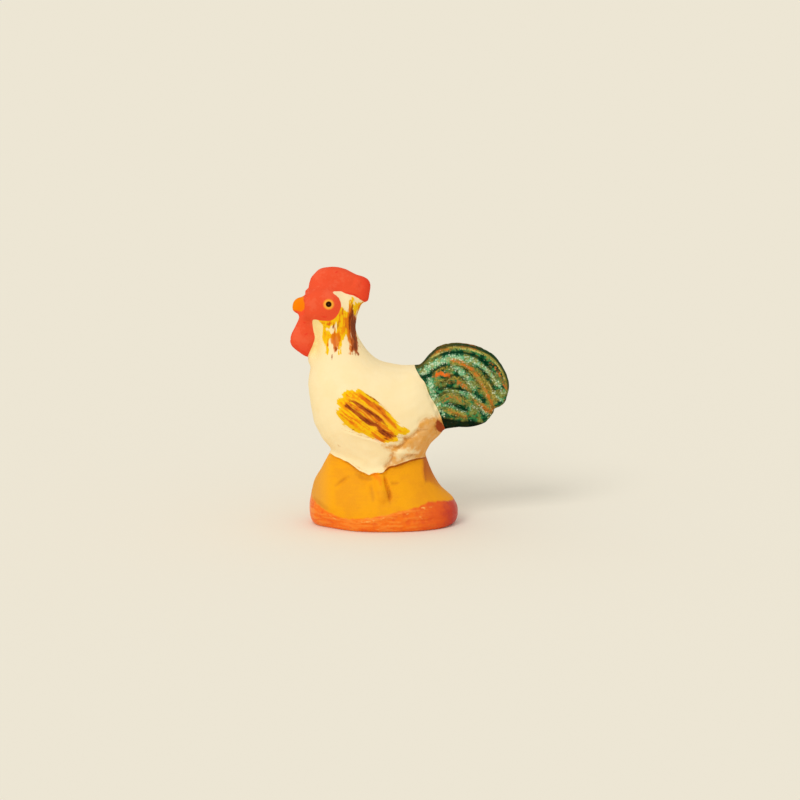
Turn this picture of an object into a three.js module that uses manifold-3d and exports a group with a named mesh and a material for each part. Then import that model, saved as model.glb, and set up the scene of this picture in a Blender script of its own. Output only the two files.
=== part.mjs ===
// A small clay rooster figurine that stands on a mound of clay.
// Every form that the modeller added with slip is a solid of its own: the mound, the bird's body with
// its neck and head, the comb, two face pads, beak, wattles, eye beads, wings, legs and the tail's feathers.
// Sizes are in millimetres. The bird looks towards -X, +Z is up, and the origin is the centre of the foot.

import * as THREE from "three";
import { mergeVertices } from "three/addons/utils/BufferGeometryUtils.js";
import Module from "manifold-3d";

const wasm = await Module();
wasm.setup();

// Driving dimensions: the joint between two pieces of clay
const slipLayer = 0.25; // thickness of the slip that sticks them together

// Driving dimensions: the mound
const moundLength = 22.8;
const moundWidth = 15;
const moundHeight = 11.6; // up to its top, which is hidden in the belly
const waistHeight = 10.6; // where the mound is narrowest, just under the belly
const waistFront = 8.5; // from the centre to the waist's front
const waistRear = 6.5;
const waistWidth = 9.4;
const footEdge = 0.7; // rounding of the foot's lower edge

// Driving dimensions: the body
const breastForward = 11.4; // from the centre to the front of the breast
const breastHeight = 20.4; // height of that point
const bodyWidth = 12.8;
const bellyHeight = 6.9; // lowest point of the belly, sunk into the mound
const backHeight = 24.5; // the saddle between neck and tail
const rumpTopReach = 5.2; // from the centre back to the tail's upper root
const rumpLowReach = 9.2; // and to its lower root
const rumpLowHeight = 14.5;
const rumpWidth = 8.2;

// Driving dimensions: the neck and head
const neckForward = 7.2; // from the centre to the neck's axis
const neckHeight = 29.4; // where the neck is thinnest
const neckDepth = 6.1;
const neckWidth = 6.3;
const headForward = 8.1;
const headHeight = 34; // centre of the head above the table
const headLength = 9.2;
const headDepth = 6; // chin to crown
const headWidth = 7;

// Driving dimensions: what the head carries
const combRise = 2.95; // top of the comb above the crown
const combLength = 10.4;
const combThickness = 3.4;
const combDroop = 2.4; // how far its rear tip hangs below the crown
const facePadRadius = 2.7;
const facePadStand = 0.55; // how far the pad stands out of the head
const eyeDiameter = 1.7;
const eyeStand = 0.25;
const beakLength = 3;
const beakDepth = 3;
const beakWidth = 3.1;
const wattleLength = 6.6;
const wattleBreadth = 3.9; // front to back
const wattleThickness = 2.1;

// Driving dimensions: wings and legs
const wingLength = 12.8;
const wingBreadth = 6.6;
const wingStand = 0.8; // how far a wing stands out of the body's side
const wingSlope = 33; // degrees that it runs down towards the tail
const wingCentreHeight = 17.5;
const wingCentreForward = 2;
const legThickness = 1.8;
const legLength = 6.2;
const legStand = 0.45; // how far the leg stands out of the mound
const legForward = 0.7; // from the centre to the leg's top

// Driving dimensions: the tail
const tailReach = 19.2; // from the centre to its furthest point
const tailTopHeight = 28.1;
const tailTipHeight = 15.1; // the lowest feather's tip
const tailRootThickness = 7.8;
const tailTipThickness = 3.4;

// How finely each kind of form is drawn
const ringSides = 28;
const crownRows = 5;

// Colours of the paint
const paint = {
  cream: 0xf5dcae,
  red: 0xe8452c,
  orange: 0xf18a1c,
  ochre: 0xe99f1c,
  green: 0x1f6b45,
  yellow: 0xf3a63a,
};
const finish = (colour, roughness) =>
  new THREE.MeshStandardMaterial({ color: paint[colour], roughness, metalness: 0 });

// Helpers: curves and closed skins

const mix = (a, b, share) => a + (b - a) * share;
const rounded = (value, squareness) => Math.sign(value) * Math.abs(value) ** (2 / squareness);

// A smooth line through [x, z, ...] rows, sampled so that it passes through each of them.
function through(rows, stepsBetween, closed = false) {
  const width = rows[0].length;
  const count = (closed ? rows.length : rows.length - 1) * stepsBetween + (closed ? 0 : 1);
  const at = (i) => (closed ? rows[(i + rows.length) % rows.length] : rows[Math.min(Math.max(i, 0), rows.length - 1)]);
  const line = [];
  for (let step = 0; step < count; step++) {
    const i = Math.floor(step / stepsBetween);
    const t = step / stepsBetween - i;
    const row = [];
    for (let k = 0; k < width; k++) {
      const [a, b, c, d] = [at(i - 1)[k], at(i)[k], at(i + 1)[k], at(i + 2)[k]];
      row.push(b + 0.5 * t * (c - a + t * (2 * a - 5 * b + 4 * c - d + t * (3 * (b - c) + d - a))));
    }
    line.push(row);
  }
  return line;
}

// A closed skin over rings of points, with a pole at each end, turned so that its faces point out.
function skinOver(rings, firstPole, lastPole) {
  const sides = rings[0].length;
  const points = [firstPole, ...rings.flat(), lastPole];
  const last = points.length - 1;
  const at = (ring, side) => 1 + ring * sides + (side % sides);
  const faces = [];
  for (let side = 0; side < sides; side++) {
    faces.push(0, at(0, side + 1), at(0, side));
    for (let ring = 0; ring < rings.length - 1; ring++) {
      faces.push(at(ring, side), at(ring, side + 1), at(ring + 1, side));
      faces.push(at(ring, side + 1), at(ring + 1, side + 1), at(ring + 1, side));
    }
    faces.push(last, at(rings.length - 1, side), at(rings.length - 1, side + 1));
  }
  if (volumeOf(points, faces) < 0) faces.reverse();
  const skin = new THREE.BufferGeometry();
  skin.setAttribute("position", new THREE.Float32BufferAttribute(points.flat(), 3));
  skin.setIndex(faces);
  return skin;
}

function volumeOf(points, faces) {
  let sum = 0;
  for (let i = 0; i < faces.length; i += 3) {
    const [a, b, c] = [0, 1, 2].map((k) => new THREE.Vector3(...points[faces[i + k]]));
    sum += a.dot(b.cross(c));
  }
  return sum;
}

// A pillow on an outline in the XZ plane that can be seen whole from its centre.
// It is symmetric about the plane y = middle, and grow moves its surface outwards.
function pillow({ outline, centre, middle, half, squareness, grow = 0 }) {
  const edge = outline.map(([x, z], i) => {
    const [ax, az] = outline[(i + outline.length - 1) % outline.length];
    const [bx, bz] = outline[(i + 1) % outline.length];
    const along = new THREE.Vector2(bx - ax, bz - az).normalize();
    const out = new THREE.Vector2(along.y, -along.x);
    if (out.dot(new THREE.Vector2(x - centre[0], z - centre[1])) < 0) out.negate();
    return [x + out.x * grow, z + out.y * grow];
  });
  const rings = [];
  for (let row = 1 - crownRows; row < crownRows; row++) {
    const angle = ((row / crownRows) * Math.PI) / 2;
    const share = rounded(Math.cos(angle), squareness);
    const y = middle + (half + grow) * rounded(Math.sin(angle), squareness);
    rings.push(edge.map(([x, z]) => [mix(centre[0], x, share), y, mix(centre[1], z, share)]));
  }
  const pole = (side) => [centre[0], middle + side * (half + grow), centre[1]];
  return skinOver(rings, pole(-1), pole(1));
}

// Rows of [along, across] shares about a centre, turned so that they run down towards +X.
function slopedOutline(rows, [x, z], length, breadth, slopeDegrees) {
  const turn = THREE.MathUtils.degToRad(-slopeDegrees);
  return through(rows, 2, true).map(([alongShare, acrossShare]) => {
    const along = (alongShare * length) / 2;
    const across = (acrossShare * breadth) / 2;
    return [
      x + along * Math.cos(turn) - across * Math.sin(turn),
      z + along * Math.sin(turn) + across * Math.cos(turn),
    ];
  });
}

// Booleans

function solidOf(geometry) {
  const merged = mergeVertices(geometry, 1e-4);
  return new wasm.Manifold(
    new wasm.Mesh({
      numProp: 3,
      vertProperties: merged.attributes.position.array,
      triVerts: new Uint32Array(merged.index.array),
    }),
  );
}

// The first geometry with the others cut out of it. The largest piece is what the modeller keeps.
function cut(geometry, ...tools) {
  let solid = solidOf(geometry);
  for (const tool of tools) solid = solid.subtract(solidOf(tool));
  const pieces = solid.decompose().sort((a, b) => b.volume() - a.volume());
  const { numProp, vertProperties, triVerts } = pieces[0].getMesh();
  const position = new Float32Array((vertProperties.length / numProp) * 3);
  for (let i = 0; i < position.length; i++) {
    position[i] = vertProperties[Math.floor(i / 3) * numProp + (i % 3)];
  }
  const made = new THREE.BufferGeometry();
  made.setAttribute("position", new THREE.BufferAttribute(position, 3));
  made.setIndex(new THREE.BufferAttribute(triVerts, 1));
  made.computeVertexNormals();
  return made;
}

// The body: level rings up the mound, then sections along the bird from its crown to its rump.

const crown = { x: -headForward + headLength * 0.06, z: headHeight + headDepth / 2 };
const chin = { x: -headForward - headLength * 0.44, z: headHeight - headDepth * 0.32 };
const bellyForward = 1.4;

function bodySkin(grow = 0) {
  const head = (along, up, length, width) => [
    -headForward + along * headLength + length * headLength,
    headHeight + up * headDepth,
    -headForward + along * headLength - length * headLength,
    headHeight + up * headDepth,
    width * headWidth,
  ];
  // Each row is a section: back x and z, front x and z, half of the width.
  const sections = through(
    [
      head(0.06, 0.46, 0.24, 0.24),
      head(0.02, 0.27, 0.43, 0.42),
      head(-0.01, 0, 0.52, 0.5),
      head(-0.01, -0.3, 0.46, 0.49),
      [-neckForward + neckDepth / 2, neckHeight + 0.3, -neckForward - neckDepth / 2, neckHeight - 0.9, neckWidth / 2],
      [
        -neckForward + neckDepth / 2 + 1.5,
        mix(neckHeight, backHeight, 0.5),
        -breastForward + 0.2,
        mix(neckHeight, breastHeight, 0.62),
        mix(neckWidth, bodyWidth, 0.36) / 2,
      ],
      [-neckForward + neckDepth / 2 + 3.4, backHeight + 0.75, -breastForward, breastHeight, bodyWidth * 0.425],
      [rumpTopReach - 3.9, backHeight + 0.2, -breastForward + 2.1, mix(bellyHeight, breastHeight, 0.46), bodyWidth * 0.49],
      [rumpTopReach - 2.2, backHeight, -bellyForward, bellyHeight, bodyWidth * 0.5],
      [rumpTopReach - 0.9, backHeight, rumpLowReach - 3.1, mix(bellyHeight, rumpLowHeight, 0.5), mix(bodyWidth, rumpWidth, 0.4) / 2],
      [rumpTopReach, backHeight, rumpLowReach, rumpLowHeight, rumpWidth / 2],
    ],
    3,
  );
  const squareness = 2.25;
  const rings = sections.map(([backX, backZ, frontX, frontZ, halfWidth]) => {
    const centre = [(backX + frontX) / 2, (backZ + frontZ) / 2];
    const half = new THREE.Vector2(frontX - backX, frontZ - backZ).multiplyScalar(0.5);
    half.setLength(half.length() + grow);
    return Array.from({ length: ringSides }, (_, side) => {
      const angle = (side / ringSides) * 2 * Math.PI;
      const towards = rounded(Math.cos(angle), squareness);
      const outwards = rounded(Math.sin(angle), squareness) * (halfWidth + grow);
      return [centre[0] + half.x * towards, outwards, centre[1] + half.y * towards];
    });
  });
  const rump = new THREE.Vector2(rumpLowReach - rumpTopReach, rumpLowHeight - backHeight).normalize();
  const behind = [-rump.y, 0, rump.x];
  const moved = ([x, y, z], by) => [x + behind[0] * by, y, z + behind[2] * by];
  if (grow > 0) rings.push(rings.at(-1).map((point) => moved(point, grow)));
  const lastPole = moved([(rumpTopReach + rumpLowReach) / 2, 0, (backHeight + rumpLowHeight) / 2], grow + 0.8);
  return skinOver(rings, [crown.x, 0, crown.z + grow], lastPole);
}

// Each row is a level of the mound: its height, and how far its front, rear and sides have flared
// from the waist (0) to the foot (1).
const moundLevels = through(
  [
    [0, 0.74, 0.84, 0.78],
    [footEdge, 0.93, 0.97, 0.95],
    [waistHeight * 0.22, 1, 1, 1],
    [waistHeight * 0.36, 0.99, 0.86, 0.9],
    [waistHeight * 0.5, 0.9, 0.52, 0.68],
    [waistHeight * 0.64, 0.74, 0.31, 0.45],
    [waistHeight * 0.8, 0.36, 0.15, 0.2],
    [waistHeight, 0, 0, 0],
    [moundHeight, -0.3, -0.2, -0.2],
  ],
  2,
);

function moundSkin(grow = 0) {
  const squareness = 2.2;
  const sides = ringSides + 4;
  const rings = moundLevels.map(([height, frontFlare, rearFlare, sideFlare]) => {
    const front = mix(waistFront, moundLength / 2, frontFlare) + grow;
    const rear = mix(waistRear, moundLength / 2, rearFlare) + grow;
    const side = mix(waistWidth, moundWidth, sideFlare) / 2 + grow;
    return Array.from({ length: sides }, (_, k) => {
      const angle = (k / sides) * 2 * Math.PI;
      const along = rounded(Math.cos(angle), squareness);
      return [(rear - front) / 2 + ((front + rear) / 2) * along, rounded(Math.sin(angle), squareness) * side, height];
    });
  });
  return skinOver(rings, [0, 0, 0], [0, 0, moundHeight + 0.2 + grow]);
}

// The head's fittings

function combSkin(grow = 0) {
  const top = crown.z + combRise;
  const front = -headForward - headLength * 0.47;
  const rear = front + combLength;
  const outline = through(
    [
      [front + 0.3, crown.z - 1.7],
      [front + 0.95, crown.z - 0.5],
      [front + 1.1, crown.z + combRise * 0.3],
      [front + 1.5, top - 1.15],
      [front + 2.7, top - 0.35],
      [front + 4.6, top],
      [mix(front, rear, 0.67), top - 0.45],
      [mix(front, rear, 0.82), top - 1.3],
      [rear - 0.45, top - 2],
      [rear, top - 3.4],
      [rear - 0.3, crown.z - combDroop * 0.8],
      [rear - 1.1, crown.z - combDroop],
      [rear - 2.1, crown.z - combDroop * 0.6],
      [rear - 3.6, crown.z - combDroop * 0.42],
      [mix(front, rear, 0.45), crown.z - combDroop * 0.5],
      [front + 2, crown.z - combDroop * 0.9],
    ],
    2,
    true,
  );
  return pillow({
    outline,
    centre: [mix(front, rear, 0.52), crown.z + 0.4],
    middle: 0,
    half: combThickness / 2,
    squareness: 2.8,
    grow,
  });
}

const facePadHalf = 1.6;
const facePadMiddle = -headWidth / 2 - facePadStand + facePadHalf;
const facePadCentre = [-headForward - 0.75, headHeight + 0.55];

function facePadSkin(grow = 0) {
  const [x, z] = facePadCentre;
  const radius = facePadRadius;
  const outline = through(
    [
      [x + radius, z],
      [x + radius * 0.72, z + radius * 0.7],
      [x + radius * 0.1, z + radius * 0.88],
      [x - radius * 0.7, z + radius * 0.8],
      [x - radius * 1.28, z + radius * 0.55],
      [x - radius * 1.36, z - radius * 0.1],
      [x - radius * 1.28, z - radius * 0.75],
      [x - radius * 0.7, z - radius * 0.95],
      [x, z - radius],
      [x + radius * 0.72, z - radius * 0.7],
    ],
    2,
    true,
  );
  return pillow({ outline, centre: [x, z], middle: facePadMiddle, half: facePadHalf, squareness: 2.6, grow });
}

const eyeHalf = 0.6;
const eyeMiddle = facePadMiddle - facePadHalf - eyeStand + eyeHalf;

function eyeSkin(grow = 0) {
  const bead = new THREE.SphereGeometry(1, 14, 8);
  bead.deleteAttribute("normal");
  bead.deleteAttribute("uv");
  const radius = eyeDiameter / 2 + grow;
  bead.scale(radius, radius, eyeHalf + grow);
  bead.rotateX(Math.PI / 2);
  bead.translate(facePadCentre[0] + 0.5, eyeMiddle, facePadCentre[1] + 0.25);
  return bead;
}

function beakSkin(grow = 0) {
  const tip = [-headForward - headLength / 2 - 1.3, headHeight - beakDepth * 0.16];
  const root = [tip[0] + beakLength, headHeight + 0.1];
  // Each row is a section: how far along the beak it is, and its share of depth and width.
  const rows = through(
    [
      [0, 1, 1],
      [0.35, 0.98, 0.97],
      [0.65, 0.84, 0.8],
      [0.88, 0.55, 0.55],
      [0.97, 0.3, 0.3],
    ],
    2,
  );
  const rings = rows.map(([share, depth, width]) => {
    const x = mix(root[0], tip[0], share) - grow * share;
    const z = mix(root[1], tip[1], share);
    return Array.from({ length: 16 }, (_, side) => {
      const angle = (side / 16) * 2 * Math.PI;
      return [
        x + Math.sin(angle) * 0.12 * depth,
        Math.cos(angle) * ((width * beakWidth) / 2 + grow),
        z + Math.sin(angle) * ((depth * beakDepth) / 2 + grow),
      ];
    });
  });
  return skinOver(rings, [root[0] + 0.3 + grow, 0, root[1]], [tip[0] - grow, 0, tip[1]]);
}

function wattleSkin(grow = 0) {
  const x = chin.x + 0.05;
  const top = chin.z + 0.8;
  const low = top - wattleLength;
  const b = wattleBreadth;
  const outline = through(
    [
      [x - b * 0.12, top],
      [x - b * 0.2, top - wattleLength * 0.2],
      [x - b * 0.37, top - wattleLength * 0.42],
      [x - b * 0.5, top - wattleLength * 0.62],
      [x - b * 0.46, top - wattleLength * 0.78],
      [x - b * 0.2, top - wattleLength * 0.92],
      [x + b * 0.12, low],
      [x + b * 0.28, top - wattleLength * 0.9],
      [x + b * 0.44, top - wattleLength * 0.62],
      [x + b * 0.5, top - wattleLength * 0.35],
      [x + b * 0.46, top - wattleLength * 0.1],
      [x + b * 0.2, top + 0.3],
    ],
    2,
    true,
  );
  return pillow({
    outline,
    centre: [x, top - wattleLength * 0.55],
    middle: -wattleThickness / 2 - slipLayer / 2,
    half: wattleThickness / 2,
    squareness: 2.3,
    grow,
  });
}

// Wings and legs

function wingSkin(grow = 0) {
  const rows = [
    [-1, 0.45],
    [-0.97, -0.1],
    [-0.8, -0.63],
    [-0.3, -1],
    [0.26, -0.9],
    [0.72, -0.48],
    [0.93, -0.1],
    [1, 0.4],
    [0.64, 0.6],
    [0.25, 0.82],
    [-0.32, 1],
    [-0.7, 0.92],
  ];
  const centre = [-wingCentreForward, wingCentreHeight];
  const half = 2.6;
  const outline = slopedOutline(rows, centre, wingLength, wingBreadth, wingSlope);
  return pillow({ outline, centre, middle: -bodyWidth / 2 - wingStand + half, half, squareness: 2.8, grow });
}

// Half of the mound's width at a height
function moundSideAt(height) {
  const above = moundLevels.findIndex((level) => level[0] > height);
  const [lowZ, , , lowFlare] = moundLevels[above - 1];
  const [highZ, , , highFlare] = moundLevels[above];
  const flare = mix(lowFlare, highFlare, (height - lowZ) / (highZ - lowZ));
  return mix(waistWidth, moundWidth, flare) / 2;
}

function legSkin(grow = 0) {
  const top = [-legForward, waistHeight * 0.98];
  const foot = [top[0] + 0.8, top[1] - legLength];
  const rows = 9;
  const rings = Array.from({ length: rows }, (_, row) => {
    const share = row / (rows - 1);
    const height = mix(top[1], foot[1], share) - (share === 1 ? grow : 0);
    const radius = (legThickness / 2) * (share === 1 ? 0.6 : 1) + grow;
    const y = -moundSideAt(height) - legStand * Math.min(1, 3 * (1 - share) + 0.2) + legThickness / 2;
    return Array.from({ length: 12 }, (_, side) => {
      const angle = (side / 12) * 2 * Math.PI;
      return [mix(top[0], foot[0], share) + Math.cos(angle) * radius, y - Math.sin(angle) * radius, height];
    });
  });
  const end = (ring, up) => {
    const sum = ring.reduce((a, p) => [a[0] + p[0], a[1] + p[1], a[2] + p[2]], [0, 0, 0]);
    return [sum[0] / ring.length, sum[1] / ring.length, sum[2] / ring.length + up];
  };
  return skinOver(rings, end(rings[0], 0.3), end(rings.at(-1), -0.2));
}

// The tail: feathers laid side by side between its upper and lower edge.

const tailUpperEdge = through(
  [
    [rumpTopReach - 1.2, backHeight - 0.4],
    [rumpTopReach + 0.9, backHeight + 0.4],
    [rumpTopReach + 2.2, tailTopHeight - 1.2],
    [rumpTopReach + 4.8, tailTopHeight],
    [mix(rumpTopReach, tailReach, 0.62), tailTopHeight - 0.35],
    [tailReach - 2.1, tailTopHeight - 2.3],
    [tailReach - 0.35, tailTopHeight - 4.8],
    [tailReach + 0.05, tailTopHeight - 7],
    [tailReach - 0.75, tailTopHeight - 8.8],
  ],
  4,
);
const tailLowerEdge = through(
  [
    [rumpLowReach - 1, rumpLowHeight + 0.2],
    [rumpLowReach + 1.6, rumpLowHeight + 0.1],
    [mix(rumpLowReach, tailReach, 0.47), tailTipHeight],
    [tailReach - 3.4, tailTipHeight + 0.9],
  ],
  4,
);

function pointOn(line, share) {
  const steps = line.slice(1).map(([x, z], i) => Math.hypot(x - line[i][0], z - line[i][1]));
  const length = steps.reduce((a, b) => a + b, 0);
  let left = share * length;
  let i = 0;
  while (i < steps.length - 1 && left > steps[i]) left -= steps[i++];
  const t = left / steps[i];
  return [mix(line[i][0], line[i + 1][0], t), mix(line[i][1], line[i + 1][1], t)];
}

// name, where it lies between the upper edge (0) and the lower edge (1), and how far out it reaches
const feathers = [
  ["tail_outer_sickle", 0, 0.13, 0.99],
  ["tail_second_sickle", 0.13, 0.27, 1.02],
  ["tail_third_sickle", 0.27, 0.42, 0.99],
  ["tail_upper_covert", 0.42, 0.57, 1.01],
  ["tail_middle_covert", 0.57, 0.72, 1.01],
  ["tail_lower_covert", 0.72, 0.87, 0.98],
  ["tail_under_feather", 0.87, 1, 0.93],
];

function featherSkin(upperShare, lowerShare, reach) {
  const rows = 16;
  const tailPoint = (acrossShare, along) => {
    const upper = pointOn(tailUpperEdge, along);
    const lower = pointOn(tailLowerEdge, along);
    return [mix(upper[0], lower[0], acrossShare), mix(upper[1], lower[1], acrossShare)];
  };
  // The tail is thickest in its middle and at its root, where it has the rump's section.
  const tailHalf = (acrossShare, along) => {
    const oval = Math.max(0, 1 - Math.abs(2 * acrossShare - 1) ** 2.4) ** (1 / 2.4);
    return (mix(tailRootThickness, tailTipThickness, along) / 2) * mix(oval, 1, 0.45 * Math.min(1, along * 3));
  };
  const rings = Array.from({ length: rows }, (_, row) => {
    const share = 1 - (1 - row / rows) ** 1.4;
    const along = Math.min(1, share * reach);
    const upper = tailPoint(upperShare, along);
    const lower = tailPoint(lowerShare, along);
    const tip = Math.sqrt(1 - Math.max(0, (share - 0.9) / 0.1) ** 2);
    const gap = slipLayer / Math.hypot(lower[0] - upper[0], lower[1] - upper[1]);
    const halfBreadth = ((1 - gap) / 2) * mix(0.3, 1, tip);
    return Array.from({ length: 12 }, (_, side) => {
      const angle = (side / 12) * 2 * Math.PI;
      const across = mix(upperShare, lowerShare, 0.5 + rounded(Math.cos(angle), 2.8) * halfBreadth);
      const [x, z] = tailPoint(across, along);
      return [x, rounded(Math.sin(angle), 2.8) * tailHalf(across, along) * mix(0.4, 1, tip), z];
    });
  });
  const middle = (upperShare + lowerShare) / 2;
  const [rootX, rootZ] = tailPoint(middle, 0);
  const [tipX, tipZ] = tailPoint(middle, Math.min(1, reach));
  return skinOver(rings, [rootX - 0.2, 0, rootZ], [tipX, 0, tipZ]);
}

// Assembly

const rooster = new THREE.Group();

function add(name, geometry, material, mirrored = false) {
  const mesh = new THREE.Mesh(geometry, material);
  mesh.name = name;
  if (mirrored) mesh.scale.y = -1;
  rooster.add(mesh);
}

// The bird's left side is y < 0, and its right side is the same form mirrored.
function addPair(name, geometry, material) {
  add(`left_${name}`, geometry, material);
  add(`right_${name}`, geometry, material, true);
}

function mirrored(geometry) {
  const other = geometry.clone().scale(1, -1, 1);
  other.index.array.reverse();
  return other;
}

const bodySeat = bodySkin(slipLayer);
const combSeat = combSkin(slipLayer);
const facePadSeat = facePadSkin(slipLayer);
const beakSeat = beakSkin(slipLayer);
const eyeSocket = eyeSkin(slipLayer);
const legSeat = legSkin(slipLayer);
const bothOf = (seat) => [seat, mirrored(seat)];
const red = finish("red", 0.62);

add("mound", cut(moundSkin(), bodySeat, ...bothOf(legSeat)), finish("ochre", 0.6));
addPair("leg", cut(legSkin(), bodySeat), finish("ochre", 0.6));
add("body", cut(bodySkin(), beakSeat, ...bothOf(eyeSocket)), finish("cream", 0.7));
addPair("wing", cut(wingSkin(), bodySeat), finish("yellow", 0.65));
add("comb", cut(combSkin(), bodySeat), red);
addPair("face_pad", cut(facePadSkin(), bodySeat, combSeat, beakSeat, eyeSocket), red);
addPair("eye", eyeSkin(), finish("yellow", 0.4));
add("beak", beakSkin(), finish("orange", 0.55));
addPair("wattle", cut(wattleSkin(), bodySeat, facePadSeat, beakSeat), red);
for (const [name, upperShare, lowerShare, reach] of feathers) {
  add(name, cut(featherSkin(upperShare, lowerShare, reach), bodySeat), finish("green", 0.35));
}

export default rooster;
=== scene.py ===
# %% [markdown]
# A clay rooster figurine, about 40 mm tall, painted by hand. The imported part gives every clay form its
# place and size: the mound, the bird's body, the comb and so on. This script takes those forms as a
# modeller takes rough rolls of clay: it presses them together, smooths the joints as a wet finger does,
# works the surface with a tool, and paints it.

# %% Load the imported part
import math
from contextlib import contextmanager
from itertools import product

import bpy
import numpy as np
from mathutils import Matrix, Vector
from mathutils.kdtree import KDTree


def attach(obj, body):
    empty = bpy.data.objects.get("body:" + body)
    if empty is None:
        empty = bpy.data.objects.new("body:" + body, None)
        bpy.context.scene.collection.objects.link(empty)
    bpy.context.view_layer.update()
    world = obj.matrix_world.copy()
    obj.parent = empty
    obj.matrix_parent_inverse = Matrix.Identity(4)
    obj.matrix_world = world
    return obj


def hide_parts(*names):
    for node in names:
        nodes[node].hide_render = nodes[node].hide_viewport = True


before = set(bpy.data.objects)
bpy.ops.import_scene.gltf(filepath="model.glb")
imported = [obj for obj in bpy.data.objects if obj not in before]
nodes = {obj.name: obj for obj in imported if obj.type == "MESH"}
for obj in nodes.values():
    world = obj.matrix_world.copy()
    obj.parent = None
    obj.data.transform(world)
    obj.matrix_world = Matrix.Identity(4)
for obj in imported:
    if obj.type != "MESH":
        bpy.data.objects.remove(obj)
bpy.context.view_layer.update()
MM = 0.001


# %% [markdown]
# The photograph looks at the bird's left side from a little above, through a long lens. A long lens far
# away keeps the far side of the bird nearly as large as the near side, so the camera is set the same way.

# %% Camera
VIEW_WIDTH = 121.95 * MM  # what the picture spans at the bird
LENS = 300.0
SENSOR = 36.0
LOOK_AT = Vector((2.52, 0.0, 19.13)) * MM
LOOK_DOWN = math.radians(12)
NEAREST = 0.01  # in metres: nearer than this, the camera draws nothing

away = VIEW_WIDTH * LENS / SENSOR
bpy.ops.object.select_all(action="DESELECT")
bpy.ops.object.camera_add(
    location=LOOK_AT + Vector((0, -math.cos(LOOK_DOWN), math.sin(LOOK_DOWN))) * away,
    rotation=(math.pi / 2 - LOOK_DOWN, 0, 0),
)
camera = bpy.context.object
camera.name = "camera"
camera.data.lens = LENS
camera.data.sensor_width = SENSOR
camera.data.clip_start = NEAREST
bpy.context.scene.camera = camera
print("camera stands", round(away / MM), "mm away")

# %% [markdown]
# The clay is worked on a bench where one unit is a millimetre, because the remesher takes no size below a
# tenth of a millimetre in metres. These helpers select a piece, apply a modifier to it, open it in edit
# mode, and take a copy of a CAD form with its loose triangles merged.

# %% Bench helpers
MERGE = 0.001


def only(*objects):
    bpy.ops.object.select_all(action="DESELECT")
    for obj in objects:
        obj.select_set(True)
    bpy.context.view_layer.objects.active = objects[0]


def modify(obj, kind, **settings):
    only(obj)
    modifier = obj.modifiers.new(kind.title(), kind)
    for key, value in settings.items():
        setattr(modifier, key, value)
    bpy.ops.object.modifier_apply(modifier=modifier.name)
    return obj


def resized(obj, factor):
    only(obj)
    obj.scale = (factor,) * 3
    bpy.ops.object.transform_apply(location=False, rotation=False, scale=True)


def placed(name, mesh):
    obj = bpy.data.objects.new(name, mesh)
    bpy.context.collection.objects.link(obj)
    return obj


@contextmanager
def editing(obj):
    """Edit mode, with the whole mesh selected."""
    only(obj)
    bpy.ops.object.mode_set(mode="EDIT")
    bpy.ops.mesh.select_all(action="SELECT")
    yield
    bpy.ops.object.mode_set(mode="OBJECT")


def lump(node):
    """A copy of a CAD form on the bench, in millimetres."""
    obj = placed("lump_" + node, nodes[node].data.copy())
    obj.data.materials.clear()
    resized(obj, 1 / MM)
    with editing(obj):
        bpy.ops.mesh.remove_doubles(threshold=MERGE)
    return obj


def remeshed(obj, size):
    return modify(obj, "REMESH", mode="VOXEL", voxel_size=size)


def grown(obj, by):
    return modify(obj, "DISPLACE", strength=by, mid_level=0)


# %% [markdown]
# Pressing two rolls of clay together closes the slip joint between them and leaves a soft hollow along it.
# Growing all the forms until they touch, remeshing them as one, and shrinking them back does just that.
# The real figurine is one fired lump of clay, and so is this one until it is cut again. A small ball of
# clay fills the throat behind the wattles, where the breast begins right at their tips.

# %% Press the forms together
FINE = 0.19  # the size of a face, a pixel and a quarter of the picture
COARSE = FINE * 1.3  # enough to join the forms before they are grown
PRESS = 0.24
THROAT_AT = (-10.35, 0.0, 25.7)
THROAT_SIZE = (1.2, 1.9, 1.5)
SIDES = ("left", "right")
SICKLES = [f"tail_{name}_sickle" for name in ("outer", "second", "third")]
COVERTS = [f"tail_{name}_covert" for name in ("upper", "middle", "lower")]
TAIL_FORMS = SICKLES + COVERTS + ["tail_under_feather"]

bpy.ops.object.select_all(action="DESELECT")
bpy.ops.mesh.primitive_uv_sphere_add(segments=24, ring_count=12, radius=1, location=THROAT_AT)
throat = bpy.context.object
throat.scale = THROAT_SIZE
bpy.ops.object.transform_apply(location=True, rotation=False, scale=True)
only(throat, *[lump(node) for node in nodes])
bpy.ops.object.join()
clay = bpy.context.object
clay.name = "clay"
remeshed(clay, COARSE)
grown(clay, PRESS)
remeshed(clay, FINE)
grown(clay, -PRESS)
print("one lump of", len(clay.data.polygons), "faces")

# %% [markdown]
# Everything that the tool and the brush do later is drawn on one side view of the bird, in millimetres:
# across is the frame's X, and up is the height as it shows down the camera's slope. A point further out
# from the middle shows a little lower. Both sides of the bird get the same drawing, because only the left
# one can be seen in the photograph.

# %% Side view drawing
SLOPE = math.tan(LOOK_DOWN)
OUTLINE_REACH = 2.0  # a longer distance to an outline is given as this


def triples(rows, what):
    flat = np.empty(len(rows) * 3)
    rows.foreach_get(what, flat)
    return flat.reshape(-1, 3)


def places(obj):
    return triples(obj.data.vertices, "co")


def facings(obj):
    return triples(obj.data.vertex_normals, "vector")


def put(obj, points):
    obj.data.vertices.foreach_set("co", points.ravel())
    obj.data.update()


def side_view(points):
    return np.column_stack((points[:, 0], points[:, 2] - SLOPE * np.abs(points[:, 1])))


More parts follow.
